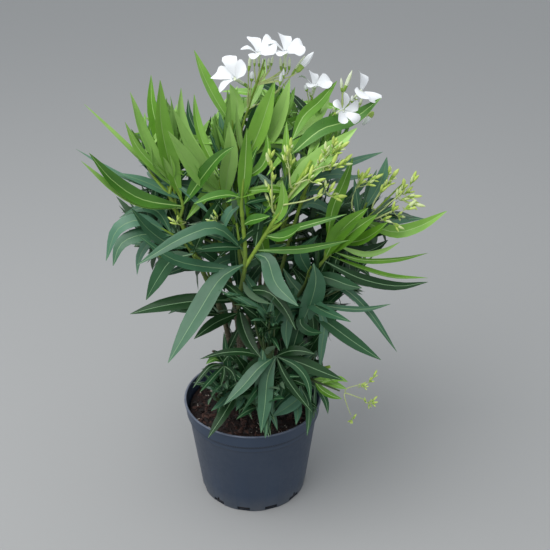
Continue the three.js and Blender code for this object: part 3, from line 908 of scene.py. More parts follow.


# The leaves in plain view, one by one: the shoot or bough that each grows on, the kind, the tint
# (0 to 3, dark to light, which also paints the leaf's shade and light), the width in metres, the depth
# of its tip, the turn of its blade, and its way in the photograph.
LEAVES_SEEN = (
    ("top left", "young", 3, .012, -.040, 28, ((177, 188), (146, 165), (116, 136), (84, 104))),
    ("top left", "young", 3, .021, -.020, 20, ((172, 181), (158, 162), (143, 135), (130, 92))),
    ("top left", "young", 2, .013, -.045, -40, ((176, 190), (160, 172), (138, 148), (125, 122))),
    ("top left", "mature", 3, .020, .040, 10, ((177, 190), (160, 158), (141, 118))),
    ("top left", "young", 1, .019, .015, -20, ((178, 190), (161, 140), (152, 105), (151, 75))),
    ("top left", "young", 2, .028, -.030, 10, ((182, 200), (170, 165), (161, 122), (160, 80))),
    ("top left", "young", 3, .013, -.050, 10, ((170, 184), (154, 166), (151, 146))),
    ("top left", "young", 3, .010, -.040, 0, ((172, 180), (167, 168), (163, 157))),
    ("top left", "young", 2, .009, -.030, 0, ((174, 180), (172, 168), (170, 155))),
    ("top left", "young", 3, .010, -.050, 30, ((174, 186), (160, 172), (154, 163))),
    ("top left", "young", 0, .020, -.060, 0, ((184, 205), (204, 175), (222, 154), (235, 146))),
    ("top left", "young", 0, .022, -.075, -20, ((184, 206), (141, 199), (112, 180), (89, 153))),
    ("top left", "young", 3, .015, -.080, 0, ((182, 208), (140, 204), (112, 189), (81, 161))),
    ("top left", "mature", 3, .012, -.010, 30, ((178, 200), (126, 178), (102, 165), (76, 149))),
    ("top left", "mature", 3, .017, -.020, 10, ((180, 200), (150, 184), (119, 173))),
    ("top left", "mature", 1, .018, .020, 15, ((182, 204), (160, 190), (140, 180), (128, 182))),
    ("centre left", "young", 3, .024, -.050, 10, ((218, 196), (200, 165), (184, 137), (173, 109))),
    ("centre left", "young", 3, .024, -.075, -15, ((216, 200), (198, 176), (181, 153), (168, 131))),
    ("centre left", "young", 3, .020, .010, 10, ((214, 178), (188, 142), (180, 114), (181, 88))),
    ("centre left", "young", 3, .023, -.050, 0, ((226, 200), (227, 178), (231, 150), (229, 122))),
    ("centre left", "young", 2, .015, .030, 15, ((219, 174), (202, 140), (196, 117), (194, 94))),
    ("centre left", "mature", 1, .015, .050, 0, ((219, 176), (208, 150), (190, 118), (188, 99))),
    ("front", "young", 1, .019, -.085, 8, ((243, 203), (244.5, 175), (246, 150), (247, 128))),
    ("front", "young", 0, .014, -.070, -30, ((244, 200), (247, 178), (252, 160), (258, 146))),
    ("front", "young", 0, .016, -.110, 22, ((241, 198), (229, 195), (210, 198), (194, 204))),
    ("bough_front", "young", 0, .015, -.105, 0, ((243, 226), (250, 221), (259, 219), (270, 216))),
    ("front", "mature", 3, .020, -.060, 0, ((241, 206), (232, 210), (224, 224), (222, 242))),
    ("centre back", "young", 2, .019, .030, 15, ((231, 126), (216, 100), (203, 74), (194, 50))),
    ("centre back", "young", 3, .021, .020, -10, ((233, 128), (238, 110), (236, 97), (230, 84))),
    ("centre back", "young", 3, .014, .055, 0, ((233, 120), (252, 100), (262, 78), (265, 58))),
    ("centre top", "young", 3, .019, -.010, 15, ((240, 168), (228, 148), (226, 121), (230, 93))),
    ("centre top", "young", 3, .010, .000, 20, ((246, 162), (240, 144), (237, 124), (236, 104))),
    ("centre top", "mature", 0, .015, .005, 0, ((249, 152), (250, 135), (254, 115), (260, 100))),
    ("centre top", "young", 2, .028, -.030, 0, ((248, 165), (258, 134), (267, 108), (275, 82))),
    ("centre top", "young", 3, .025, -.020, 8, ((251, 160), (270, 136), (283, 108), (290, 79))),
    ("centre top", "young", 2, .015, .020, 10, ((254, 142), (279, 122), (290, 102), (295, 87))),
    ("bough_centre", "mature", 3, .016, .010, 0, ((246, 190), (251, 180), (257, 165), (265, 147))),
    ("front", "young", 1, .014, -.060, 0, ((246, 180), (262, 166), (268, 150), (267, 134))),
    ("top right inner", "young", 0, .024, -.010, 0, ((287, 156), (322, 129), (351, 120), (381, 98))),
    ("top right inner", "young", 1, .017, .010, 20, ((290, 142), (303, 117), (320, 101), (337, 81))),
    ("top right inner", "young", 3, .017, .035, -10, ((292, 140), (310, 125), (322, 110), (330, 92))),
    ("top right inner", "mature", 0, .015, .020, 10, ((290, 160), (293, 142), (297, 121))),
    ("bough_front_right", "young", 3, .028, -.070, 0, ((281, 206), (305, 174), (328, 153), (357, 128))),
    ("bough_front_right", "young", 0, .010, -.095, 10, ((262, 240), (290, 230), (322, 221), (347, 214))),
    ("bough_front_right", "young", 0, .016, -.110, 0, ((266, 236), (280, 238), (292, 234), (301, 226))),
    ("bough_front_right", "young", 0, .012, -.110, 45, ((255, 250), (300, 249), (325, 245), (350, 240))),
    ("bough_front_right", "young", 2, .015, -.090, 20, ((272, 228), (282, 210), (284, 196), (282, 180))),
    ("right upright", "young", 1, .018, -.050, 10, ((327, 238), (333, 208), (344, 182), (353, 157))),
    ("right upright", "young", 1, .024, -.075, 0, ((325, 258), (337, 236), (350, 222), (368, 208))),
    ("bough_top_right", "mature", 3, .016, .030, 0, ((299, 186), (318, 178), (336, 174), (354, 176))),
    ("bough_top_right", "mature", 3, .014, .020, 0, ((297, 200), (308, 192), (320, 190), (330, 197))),
    ("bough_top_right", "mature", 3, .015, .020, 10, ((296, 208), (310, 203), (322, 206), (334, 216))),
    ("bough_right", "young", 1, .022, -.085, 20, ((330, 258), (345, 238), (360, 226), (378, 214))),
    ("bough_right", "young", 1, .018, -.080, 0, ((345, 250), (362, 240), (376, 232), (388, 222))),
    ("right outer", "mature", 3, .018, -.030, 10, ((362, 208), (374, 194), (382, 178), (387, 157))),
    ("right outer", "young", 2, .019, -.050, 10, ((364, 222), (395, 232), (420, 226), (447, 211))),
    ("bough_right", "young", 1, .009, -.060, 50, ((340, 258), (362, 260), (398, 259), (428, 253))),
    ("bough_right", "young", 3, .009, -.050, 40, ((345, 254), (366, 254), (384, 250), (400, 242))),
    ("bough_right", "mature", 0, .016, -.060, 20, ((326, 263), (362, 279), (398, 286), (428, 282))),
    ("bough_right", "young", 1, .012, -.055, -35, ((335, 262), (360, 268), (392, 277), (428, 278))),
    ("bough_right", "mature", 0, .017, -.010, 0, ((345, 252), (362, 252), (376, 248), (388, 240))),
    ("bough_right", "mature", 2, .024, -.050, 0, ((294, 262), (300, 252), (308, 243), (318, 235))),
    ("bough_top_right", "mature", 3, .012, .070, 10, ((300, 180), (330, 171), (355, 161), (383, 152))),
    ("left arm", "mature", 3, .022, -.060, 10, ((168, 234), (140, 220), (118, 229), (106, 261))),
    ("left arm", "mature", 2, .022, -.080, 0, ((172, 238), (140, 235), (121, 244), (113, 266))),
    ("left arm", "mature", 2, .020, .000, 20, ((172, 232), (158, 212), (142, 208), (119, 218))),
    ("left arm", "mature", 2, .021, -.080, -15, ((186, 250), (168, 243), (148, 229), (131, 208))),
    ("left arm", "mature", 3, .017, -.040, 0, ((170, 236), (152, 240), (140, 256), (137, 275))),
    ("left front arm", "mature", 1, .030, -.070, 0, ((192, 254), (172, 260), (157, 280), (146, 300))),
    ("bough_front", "mature", 2, .020, -.130, 12, ((241, 252), (216, 228), (186, 236), (137, 265))),
    ("bough_front", "mature", 2, .019, -.100, 0, ((238, 268), (206, 267), (172, 259), (138, 235))),
    ("bough_front", "mature", 2, .032, -.160, 6, ((240, 264), (222, 277), (198, 313), (168, 363))),
    ("middle left", "mature", 0, .027, -.080, 8, ((231, 300), (196, 301), (162, 306), (130, 314))),
    ("bough_front", "mature", 0, .019, -.100, 0, ((236, 312), (217, 322), (205, 330), (194, 339))),
    ("bough_front", "mature", 0, .020, -.110, 0, ((239, 306), (243, 326), (250, 343), (261, 358))),
    ("bough_front", "mature", 2, .012, -.110, 160, ((241, 280), (248, 291), (258, 299), (271, 304))),
    ("bough_front_right", "mature", 2, .026, -.130, 0, ((252, 254), (266, 258), (276, 284), (298, 306))),
    ("bough_top_right", "mature", 2, .020, -.120, 10, ((282, 266), (293, 284), (317, 307), (351, 322))),
    ("middle right", "mature", 2, .033, -.055, 0, ((314, 264), (316, 280), (311, 302), (299, 330))),
    ("bough_right", "mature", 1, .020, -.070, 20, ((314, 274), (332, 279), (348, 285), (362, 288))),
    ("bough_right", "mature", 2, .012, -.060, 10, ((306, 284), (340, 287), (364, 306), (397, 352))),
    ("low right arm", "mature", 1, .021, -.100, 10, ((306, 307), (328, 323), (354, 342), (381, 360))),
    ("low right arm", "mature", 2, .009, -.060, 20, ((314, 304), (340, 308), (366, 309), (391, 304))),
    ("low right arm", "mature", 1, .015, -.090, 0, ((304, 308), (300, 322), (308, 331), (323, 333))),
    ("low right arm", "mature", 3, .013, -.070, 30, ((316, 306), (324, 322), (322, 346), (320, 370))),
    ("bough_front", "mature", 0, .018, -.120, 0, ((242, 290), (268, 292), (284, 308), (296, 330))),
    ("low right arm", "mature", 2, .020, -.110, 0, ((300, 308), (290, 312), (286, 330), (287, 349))),
    ("low front", "mature", 2, .021, -.150, 6, ((277, 356), (260, 367), (243, 386), (224, 405))),
    ("low front", "mature", 2, .023, -.150, 0, ((277, 356), (268, 376), (265, 404), (261, 433))),
    ("low front", "mature", 0, .015, -.110, 0, ((277, 355), (290, 351), (302, 351), (315, 354))),
    ("low front", "mature", 0, .020, -.120, 8, ((278, 355), (298, 362), (320, 371), (343, 380))),
    ("low front", "mature", 1, .012, -.140, 20, ((279, 357), (296, 366), (307, 380), (311, 402))),
    ("low front", "mature", 0, .012, -.135, 0, ((278, 357), (284, 374), (296, 392), (312, 412))),
    ("low front", "mature", 0, .012, -.120, 0, ((270, 356), (244, 352), (222, 353), (200, 359))),
    ("low left small", "mature", 0, .009, -.090, 10, ((223, 364), (211, 366), (203, 374), (193, 388))),
    ("low left small", "mature", 1, .010, -.100, 0, ((224, 366), (216, 374), (209, 382), (200, 392))),
    ("low left small", "mature", 0, .009, -.100, 20, ((224, 366), (224, 374), (221, 386))),
    ("low left small", "young", 0, .011, -.070, 10, ((223, 362), (214, 359), (206, 364))),
    ("low left small", "mature", 0, .011, -.060, 0, ((223, 362), (229, 356), (236, 362))),
    ("low left small", "mature", 0, .009, -.060, 0, ((223, 362), (219, 356), (214, 350))),
    ("low left small", "mature", 0, .010, -.100, 15, ((224, 366), (232, 372), (236, 382))),
    ("skirt left", "mature", 0, .018, -.125, 10, ((237, 390), (231, 402), (220, 420), (208, 438))),
    ("skirt left", "mature", 3, .011, -.110, 0, ((237, 390), (228, 396), (220, 404), (211, 411))),
    ("skirt left", "mature", 3, .011, -.105, 0, ((239, 390), (243, 396), (240, 404), (236, 411))),
    ("skirt right", "mature", 3, .021, -.110, 0, ((303, 388), (298, 398), (286, 408), (273, 416))),
    ("skirt right", "mature", 3, .014, -.120, 0, ((290, 390), (296, 402), (298, 412), (296, 425))),
    ("skirt right", "mature", 1, .011, -.118, 10, ((302, 388), (308, 402), (309, 418), (307, 436))),
    ("low right", "mature", 1, .010, -.100, 10, ((313, 382), (321, 392), (326, 402), (328, 414))),
    ("low right", "young", 2, .012, -.090, 10, ((311, 380), (324, 381), (336, 385), (347, 389))),
    ("low right", "young", 1, .011, -.110, 0, ((313, 382), (322, 390), (332, 396), (342, 399))),
    ("low right", "young", 2, .010, -.080, 0, ((320, 384), (332, 380), (340, 379), (348, 382))),
)


def place_seen_at(carrier, px, py):
    """The place on a bough or shoot that shows nearest to a pixel."""
    shown = in_photo(carriers[carrier])
    return carriers[carrier][np.argmin(np.hypot(shown[:, 0] - px, shown[:, 1] - py))]


def seen_leaf_way(carrier, tip_depth, way):
    """A leaf's midline: from the place on its shoot next to its first pixel, out to its tip."""
    foot = place_seen_at(carrier, *way[0])
    steps = [math.dist(a, b) for a, b in zip(way, way[1:])]
    run = np.cumsum(steps) / sum(steps)
    points = [foot]
    for (px, py), share in zip(way[1:], run):
        points.append(seen(px, py, foot[1] + (tip_depth - foot[1]) * share))
    return smooth_way(points, 0, FINE_STATIONS)


def leaf_face(way):
    """A direction for a leaf's upper side: up and towards the open side of the plant."""
    to_camera = unit(CAMERA_PLACE - way[len(way) // 2])
    return to_camera + np.array((0, 0, SEEN_FACE_UP))


# The masses of the crown: whether their shoots bear young leaves or mature, and how many shoots the
# rule further on grows in each. A leaf placed above goes with the mass that it is nearest to.
MASSES = {
    "leaves_top_left": ("young", 6), "leaves_top_centre": ("young", 9),
    "leaves_top_right": ("young", 8), "leaves_front": ("young", 4),
    "leaves_front_right": ("young", 4), "leaves_right": ("young", 6),
    "leaves_back_left": ("young", 9), "leaves_back_right": ("young", 9),
    "leaves_mid_left": ("mature", 8), "leaves_mid_front_left": ("mature", 6),
    "leaves_mid_front": ("mature", 10), "leaves_mid_right": ("mature", 10),
    "leaves_mid_back_left": ("mature", 9), "leaves_mid_back": ("mature", 11),
    "leaves_mid_back_right": ("mature", 9), "leaves_low_left": ("mature", 8),
    "leaves_low_right": ("mature", 9), "leaves_low_front": ("mature", 8),
    "leaves_low_front_left": ("mature", 8), "leaves_low_back_left": ("mature", 7),
    "leaves_low_back_right": ("mature", 7),
}
mass_centre = {}
for mass in MASSES:
    low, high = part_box(mass)
    mass_centre[mass] = np.array((low + high) / 2)

sprays = {}


def spray_store(key, kind):
    """The collection of one mass's leaves of one kind."""
    return sprays.setdefault((key, kind), new_store())


seen_blades = []
for carrier, kind, tint, width, tip_depth, turn, way in LEAVES_SEEN:
    midline = seen_leaf_way(carrier, tip_depth, way)
    rings = leaf_rings(midline, FINE_STATIONS, width, leaf_face(midline), kind, turn, SEEN_TWIST)
    seen_blades.append(rings)
    outer = rings[int(len(rings) * OUTER_SHARE)].mean(axis=0)
    mass = min(MASSES, key=lambda name: np.linalg.norm(mass_centre[name] - outer))
    add_rings(spray_store(mass, kind), rings, leaf_tints(tint))


def blade_points(rings):
    """Points spread over a leaf's blade, closer than its rings."""
    shares = np.linspace(0, len(rings) - 1, BLADE_ROWS)
    low = np.floor(shares).astype(int)
    high = np.minimum(low + 1, len(rings) - 1)
    part = (shares - low)[:, None, None]
    between = (rings[low] * (1 - part) + rings[high] * part)[:, :6]
    halfway = (between[:, :-1] + between[:, 1:]) / 2
    return np.concatenate((between, halfway), axis=1).reshape(-1, 3)


# What lies nearest, cell by cell of the view: the side of a cell in pixels, and the cells in a row.
CELL = 2
cells = PHOTO_SIDE // CELL + 1
nearest_seen = np.full((cells, cells), np.inf)


def cells_of(shown):
    """The cells of the view that some pixels lie in."""
    cell = np.clip((shown[:, :2] / CELL).astype(int), 0, cells - 1)
    return cell[:, 0], cell[:, 1]


def keep_in_view(points):
    """Marks where something placed by the photograph shows, and how far it lies."""
    shown = in_photo(points)
    np.minimum.at(nearest_seen, cells_of(shown), shown[:, 2])


for rings in seen_blades:
    keep_in_view(blade_points(rings))




# The blossom: clusters of white flowers at the ends of the centre and right boughs. A flower has a
# narrow tube in a green calyx, and five broad petals set like a pinwheel, 45 mm across.
PETAL_COUNT = 5
PETAL_LENGTH = 0.0225
PETAL_WIDTH = 0.0200
THROAT_RADIUS = 0.0030
TUBE_LENGTH = 0.022
TUBE_EASE = 0.001
TUBE_SHAPE = ((0, 0.0011), (0.008, 0.0015), (0.014, 0.0024))
CALYX_SHAPE = ((0, 0.0009), (0.0015, 0.0019), (0.004, 0.0018), (0.0062, 0.0015))
CORONA_SHAPE = ((-0.001, 0.0006), (0.0025, 0.0005), (0.0045, 0.0001))
CORONA_INSET = 0.8
CORONA_LEAN = 0.5
BEARING_EASE = 0.06
SIZE_EASE = (0.94, 1.05)
CUP_EASE = 0.10
PITCH_EASE = 0.12
# A petal's rings: how far out, how wide, and how far to one side. Then how it lifts and ripples.
PETAL_RINGS = (
    (0, 0.30, 0), (0.16, 0.50, 0), (0.36, 0.80, 0.03), (0.58, 1.0, 0.08), (0.78, 1.0, 0.13),
    (0.92, 0.80, 0.16), (1.0, 0.42, 0.15),
)
PETAL_ROLL_BACK = 0.55
ROLL_BACK_POWER = 2.6
PETAL_TIP_DROP = 0.10
PETAL_EDGE_LIFT = 0.14
PETAL_RIPPLE = 0.16
PETAL_FOLD = -0.05
PETAL_THICKNESS = 0.0005
PETAL_PITCH = math.radians(19)
PETAL_CUP = 0.9
PETAL_WHITE = ((0.88, 0.90, 0.92, 1), (0.95, 0.96, 0.97, 1))
TUBE_CREAM = ((0.75, 0.82, 0.55, 1), (0.85, 0.90, 0.70, 1))
CALYX_GREEN = ((0.25, 0.42, 0.06, 1), (0.38, 0.54, 0.10, 1))
STALK_LIME = ((0.42, 0.52, 0.16, 1), (0.55, 0.62, 0.28, 1))
STALK_RADIUS = 0.0010
STALK_TAPER = (1.2, 0.8)
STALK_BEND = (0.62, 0.62, 0.45)
STALK_END = 0.004
STALK_POINTS = 9
FORKS = 3
FORK_BELOW = 0.018
FORK_ASIDE = 0.8
FRAME_HINT = (0.31, 0.87, 0.11)
# A bud's body and its calyx, in shares of its length and width, and how far the calyx holds it.
BUD_SHAPE = ((0, 0.30), (0.18, 0.42), (0.42, 0.5), (0.66, 0.38), (0.82, 0.15))
BUD_TIP = (0.88, 0.0001)
BUD_CALYX = ((0.08, 0.38), (0.30, 0.44), (0.36, 0.38))
CALYX_FOOT = (-0.0005, 0.16)
BUD_SEAT = 0.12
BUD_SIDES = 6

blossom_finishes = [
    finish("petal", *PETAL_WHITE, size=70, contrast=0.8, gloss=0.55, relief=0.0002),
    finish("flower_tube", *TUBE_CREAM, size=120, gloss=0.5, relief=0.0001),
    finish("calyx", *CALYX_GREEN, size=160, gloss=0.45, relief=0.0001),
]


def frame_on(axis):
    """Two directions square to an axis and to each other."""
    side = unit(np.cross(axis, FRAME_HINT))
    return side, np.cross(axis, side)


def add_petal(store, draw, throat, out, axis, size, cup, roll, breadth):
    """One petal: a broad, lopsided blade that opens from the throat, with a rippled edge."""
    across = np.cross(axis, out)
    across = across * math.cos(roll) + axis * math.sin(roll)
    phase = draw.uniform(0, 6)
    rings = []
    for station, share, shift in PETAL_RINGS:
        reach = PETAL_LENGTH * size * station
        rolled = PETAL_ROLL_BACK * station ** ROLL_BACK_POWER * cup
        lift = PETAL_LENGTH * size * (cup * station - rolled - PETAL_TIP_DROP * station ** 4)
        middle = throat + out * reach + axis * lift + across * (PETAL_WIDTH * size * shift)
        half = PETAL_WIDTH * size * breadth / 2 * share
        skin = axis * PETAL_THICKNESS / 2
        left = axis * half * (PETAL_EDGE_LIFT + PETAL_RIPPLE * math.sin(station * 7 + phase))
        right = axis * half * (PETAL_EDGE_LIFT + PETAL_RIPPLE * math.sin(station * 6 + phase + 2))
        dip = axis * half * PETAL_FOLD
        rings.append((
            middle - across * half + left, middle - across * half * 0.5 + skin,
            middle + dip + skin, middle + across * half * 0.5 + skin,
            middle + across * half + right, middle + across * half * 0.5 - skin,
            middle + dip - skin, middle - across * half * 0.5 - skin,
        ))
    add_rings(store, rings, [0] * 8)


def add_turned(store, foot, axis, profile, sides, tint):
    """A small turned body on an axis: pairs of distance along it and radius."""
    side, other = frame_on(axis)
    angles = np.arange(sides) * 2 * math.pi / sides
    wheel = np.outer(np.cos(angles), side) + np.outer(np.sin(angles), other)
    add_rings(store, [foot + axis * along + wheel * radius for along, radius in profile], [tint] * sides)


def add_flower(store, draw, centre, axis, size, start, breadth, missing):
    """A flower whose throat is at a centre, facing along an axis, its first petal at an angle from
    the right, with a scale of its corona by each petal. Returns the foot of its calyx."""
    axis = unit(np.asarray(axis, float))
    side = unit(np.array((1.0, 0, 0)) - axis * axis[0])
    other = np.cross(axis, side)
    for petal in range(PETAL_COUNT):
        if petal in missing:
            continue
        bearing = math.radians(start) + petal * 2 * math.pi / PETAL_COUNT
        bearing += draw.uniform(-BEARING_EASE, BEARING_EASE)
        out = side * math.cos(bearing) + other * math.sin(bearing)
        own_size = size * draw.uniform(*SIZE_EASE)
        cup = PETAL_CUP + draw.uniform(-CUP_EASE, CUP_EASE)
        pitch = PETAL_PITCH + draw.uniform(-PITCH_EASE, PITCH_EASE)
        add_petal(store, draw, centre + out * THROAT_RADIUS, out, axis, own_size, cup, pitch, breadth)
        add_turned(store, centre + out * THROAT_RADIUS * CORONA_INSET, unit(axis + out * CORONA_LEAN),
                   CORONA_SHAPE, sides=4, tint=0)
    foot = centre - axis * TUBE_LENGTH * size
    tube = [(along * size, radius) for along, radius in TUBE_SHAPE]
    add_turned(store, foot, axis, (*tube, (TUBE_LENGTH * size - TUBE_EASE, THROAT_RADIUS)),
               sides=8, tint=1)
    add_turned(store, foot - axis * TUBE_EASE, axis, CALYX_SHAPE, sides=6, tint=2)
    return foot - axis * TUBE_EASE


def add_bud(store, foot, axis, length, width, tint):
    """A pointed bud in its calyx."""
    axis = unit(axis)
    body = [(length * along, width * radius) for along, radius in BUD_SHAPE]
    tip_at, tip_radius = BUD_TIP
    add_turned(store, foot + axis * length * BUD_SEAT, axis, (*body, (length * tip_at, tip_radius)),
               BUD_SIDES, tint)
    calyx = [(length * along, width * radius) for along, radius in BUD_CALYX]
    foot_at, foot_share = CALYX_FOOT
    add_turned(store, foot, axis, ((foot_at, width * foot_share), *calyx), BUD_SIDES, 2)


# Each cluster: the bough it crowns, and its flowers, by the pixel and depth of the throat, the way
# each faces, its size, the angle of its first petal in degrees, how broad its petals are, and those
# that it has dropped. Then its buds: foot, the way each points, length, width and tint.
CLUSTERS = {
    "blossom_centre": ("bough_centre", 0.80, (
        ((234.4, 78.2, -0.012), (-0.65, -0.54, 0.54), 1.08, 0, 1.0, (4,)),
        ((258.6, 53.0, 0.000), (-0.02, -0.37, 0.93), 0.96, 34, 0.9, ()),
        ((286.0, 51.8, 0.004), (0.15, -0.30, 0.94), 1.02, 23, 0.95, ()),
    ), (
        ((251.5, 81, 0.000), (0.1, -0.1, 1.0), 0.014, 0.0068, 0),
        ((297, 72, 0.002), (0.64, 0.29, 0.70), 0.035, 0.0092, 0),
        ((280, 85, 0.000), (0.1, 0, 1.0), 0.018, 0.0052, 0),
        ((283.5, 78, 0.000), (0, 0, 1.0), 0.013, 0.0038, 0),
        ((248.6, 71, 0.010), (0.15, 0, 1.0), 0.024, 0.0052, 1),
        ((254.5, 66, 0.012), (0, 0, 1.0), 0.014, 0.0042, 1),
        ((264, 70, 0.014), (-0.1, 0, 1.0), 0.016, 0.0046, 1),
        ((268, 69, 0.014), (0.1, 0, 1.0), 0.016, 0.0046, 1),
        ((271, 66, 0.012), (0.2, 0, 1.0), 0.014, 0.0040, 1),
        ((281, 70, 0.010), (-0.05, 0, 1.0), 0.018, 0.0045, 1),
        ((285, 72, 0.010), (0, 0, 1.0), 0.022, 0.0048, 1),
        ((289, 70, 0.010), (0.05, 0, 1.0), 0.018, 0.0045, 1),
        ((291.7, 75, 0.010), (0.60, 0, 0.90), 0.032, 0.0042, 1),
    )),
    "blossom_right_inner": ("bough_top_right", 0.72, (
        ((314.5, 86.0, 0.014), (0.17, -0.14, 0.98), 0.96, 24, 0.9, ()),
    ), (
        ((307, 91, 0.010), (-0.3, 0, 0.9), 0.009, 0.0062, 0),
        ((311, 97, 0.016), (-0.3, 0, 0.9), 0.009, 0.0036, 1),
    )),
    "blossom_right": ("bough_top_right", 0.86, (
        ((361.8, 90.8, 0.000), (0.57, -0.42, 0.70), 0.98, 24, 1.15, (0, 2)),
        ((343.3, 110.3, -0.048), (0.56, -0.67, 0.49), 0.88, 19, 0.85, ()),
    ), (
        ((343.6, 92, 0.004), (0.35, 0, 1.0), 0.032, 0.0056, 1),
        ((342, 92, 0.010), (-0.1, 0, 1.0), 0.020, 0.0046, 1),
        ((352, 103, 0.004), (0, -0.1, 1.0), 0.011, 0.0048, 0),
        ((356, 101, 0.006), (0.2, 0, 1.0), 0.011, 0.0048, 0),
        ((360, 105, 0.000), (0.2, -0.1, 0.9), 0.010, 0.0042, 1),
        ((355, 110, -0.004), (0.3, -0.2, 0.8), 0.013, 0.0044, 1),
        ((373, 112, 0.014), (-0.55, 0.1, -0.83), 0.024, 0.0095, 0),
        ((335, 114, 0.000), (-0.3, -0.2, 0.9), 0.012, 0.0044, 1),
    )),
}

stalks = new_store()


def add_stalk(way, taper, sides=5, size=1):
    """A flower or bud stalk along a way, its radius at foot and tip in shares of the usual one."""
    foot_radius, tip_radius = (STALK_RADIUS * share * size for share in taper)
    add_tube(stalks, way, foot_radius, tip_radius, sides)


for key, (bough, share, flowers, loose_buds) in CLUSTERS.items():
    draw = random.Random(f"flowers of {key}")
    store = new_store()
    crown = carriers[bough][round(share * (WAY_POINTS - 1)):]
    feet = []
    for place, facing, *shape in flowers:
        feet.append((add_flower(store, draw, seen(*place), facing, *shape), unit(np.array(facing))))
    for place, pointing, length, width, tint in loose_buds:
        foot = seen(*place)
        add_bud(store, foot, np.array(pointing, float), length, width, tint)
        feet.append((foot, unit(np.array(pointing, float))))
    for foot, axis in feet:
        aside = np.linalg.norm(crown[-1, :2] - foot[:2])
        below = foot - np.array((0, 0, FORK_BELOW + FORK_ASIDE * aside))
        forks = crown[::len(crown) // FORKS]
        start = forks[np.argmin(np.linalg.norm(forks - below, axis=1))]
        bend = start + (foot - start) * np.array(STALK_BEND)
        way = smooth_way((start, bend, foot - axis * STALK_END, foot), STALK_POINTS)
        add_stalk(way, STALK_TAPER)
    keep_in_view(np.array(store["points"]))
    replaced = (key,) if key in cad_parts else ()
    joined_piece(store, f"flowers_{key}", blossom_finishes, replaced, smooth=50)


# The bud sprays: stalks that fork in threes and end in clusters of small pointed buds, yellow-green
# to cream. Each spray has its carrier, its way in the photograph, and the pixels of its clusters.
BUD_LENGTH = (0.010, 0.017)
BUD_WIDTH = 0.30
SMALL_SPRAY = 0.62
SPRAY_POINTS = 24
SPRAY_STEP = 3
SPRAY_TAPER = (1.5, 0.8)
CLUSTER_DEPTH = (-0.010, 0.012)
TWIG_FOOT = (-2, 9)
TWIG_POINTS = 7
TWIG_TAPER = (0.8, 0.5)
TWIG_RISE = 0.006
TWIG_SAG = 0.002
FORK_BEFORE = 0.008
BUD_STALK_TAPER = (0.45, 0.4)
BUD_STALK_FOOT = 0.004
BUD_TURN = 2.4
BUD_TURN_SPREAD = 0.4
FIRST_BUD_LEAN = 0.10
BUD_LEAN = (0.35, 0.75)
FIRST_BUD_SIZE = 1.15
BUD_SIZE = 0.85
BUD_LEAD = 0.002
BUD_BACK = 0.003
STALK_OVERLAP = 0.001
CREAM_SHARE = 0.34
BUD_TINTS = (
    ("bud_lime", (0.50, 0.66, 0.11, 1), (0.66, 0.79, 0.21, 1)),
    ("bud_cream", (0.62, 0.74, 0.28, 1), (0.75, 0.84, 0.46, 1)),
    ("bud_calyx", (0.28, 0.46, 0.05, 1), (0.40, 0.58, 0.09, 1)),
)
BUD_SPRAYS = (
    ("front spray", "bough_front_right", ((284, 203, -0.084), (304, 179, -0.086), (322, 160, -0.084),
                                          (334, 148, -0.082)),
     ((341, 144), (334, 142), (326, 148), (338, 150), (330, 154), (321, 159), (343, 147)), 4),
    ("front right twig", "bough_front_right", ((298, 183, -0.086), (315, 170, -0.088), (338, 163, -0.088)),
     ((346, 161), (341, 164), (334, 162), (328, 167)), 3),
    ("front short twig", "bough_front_right", ((296, 184, -0.090), (309, 179, -0.092)),
     ((311, 174), (309, 180), (320, 181), (306, 173)), 3),
    ("front low twig", "bough_front_right", ((283, 205, -0.088), (308, 200, -0.092), (326, 192, -0.092)),
     ((338, 197), (332, 188), (326, 184), (340, 196), (320, 194)), 3),
    ("upright spray", "bough_front_right", ((273, 212, -0.084), (272, 190, -0.086), (271, 168, -0.086)),
     ((270, 153), (269, 161), (272, 166), (268, 187), (272, 196), (273, 176), (268, 198), (275, 206)), 3),
    ("second upright", "bough_front_right", ((291, 187, -0.086), (289, 170, -0.086), (287, 158, -0.086)),
     ((286, 151), (291, 144), (284, 158), (291, 160), (288, 150)), 3),
    ("right first", "bough_right", ((352, 208, -0.048), (355, 190, -0.046), (359, 180, -0.044)),
     ((359, 173), (367, 174), (377, 178), (372, 182), (362, 180)), 3),
    ("right second", "bough_right", ((372, 208, -0.046), (381, 190, -0.044), (387, 178, -0.042)),
     ((390, 170), (394, 176), (386, 184), (382, 188), (391, 181)), 3),
    ("right long", "bough_right", ((376, 214, -0.050), (392, 201, -0.048), (406, 190, -0.046)),
     ((414, 178), (404, 184), (410, 190), (415, 197), (416, 205), (400, 192), (408, 199)), 4),
    ("right lower", "bough_right", ((374, 219, -0.056), (390, 212, -0.058), (403, 207, -0.058)),
     ((402, 217), (399, 227), (410, 206), (394, 206), (388, 218)), 3),
    ("left tiny", "bough_left", ((186, 222, -0.050), (180, 221, -0.060), (175, 220, -0.066)),
     ((171, 219), (173, 223), (178, 217)), 3),
    ("left inner tiny", "bough_centre", ((222, 214, -0.060), (216, 217, -0.070)),
     ((212, 216), (209, 221), (215, 212), (205, 222)), 3),
    ("low upper", "low right", ((346, 389, -0.102), (358, 385, -0.104), (369, 381, -0.104)),
     ((376, 373), (372, 379), (364, 384), (368, 387)), 3),
    ("low middle", "low right", ((346, 393, -0.102), (360, 398, -0.104), (369, 401, -0.104)),
     ((376, 403), (371, 407), (365, 400), (375, 399)), 3),
    ("low hanging", "low right", ((344, 394, -0.104), (348, 408, -0.108), (352, 417, -0.108)),
     ((352, 423), (355, 416), (349, 421)), 2),
)

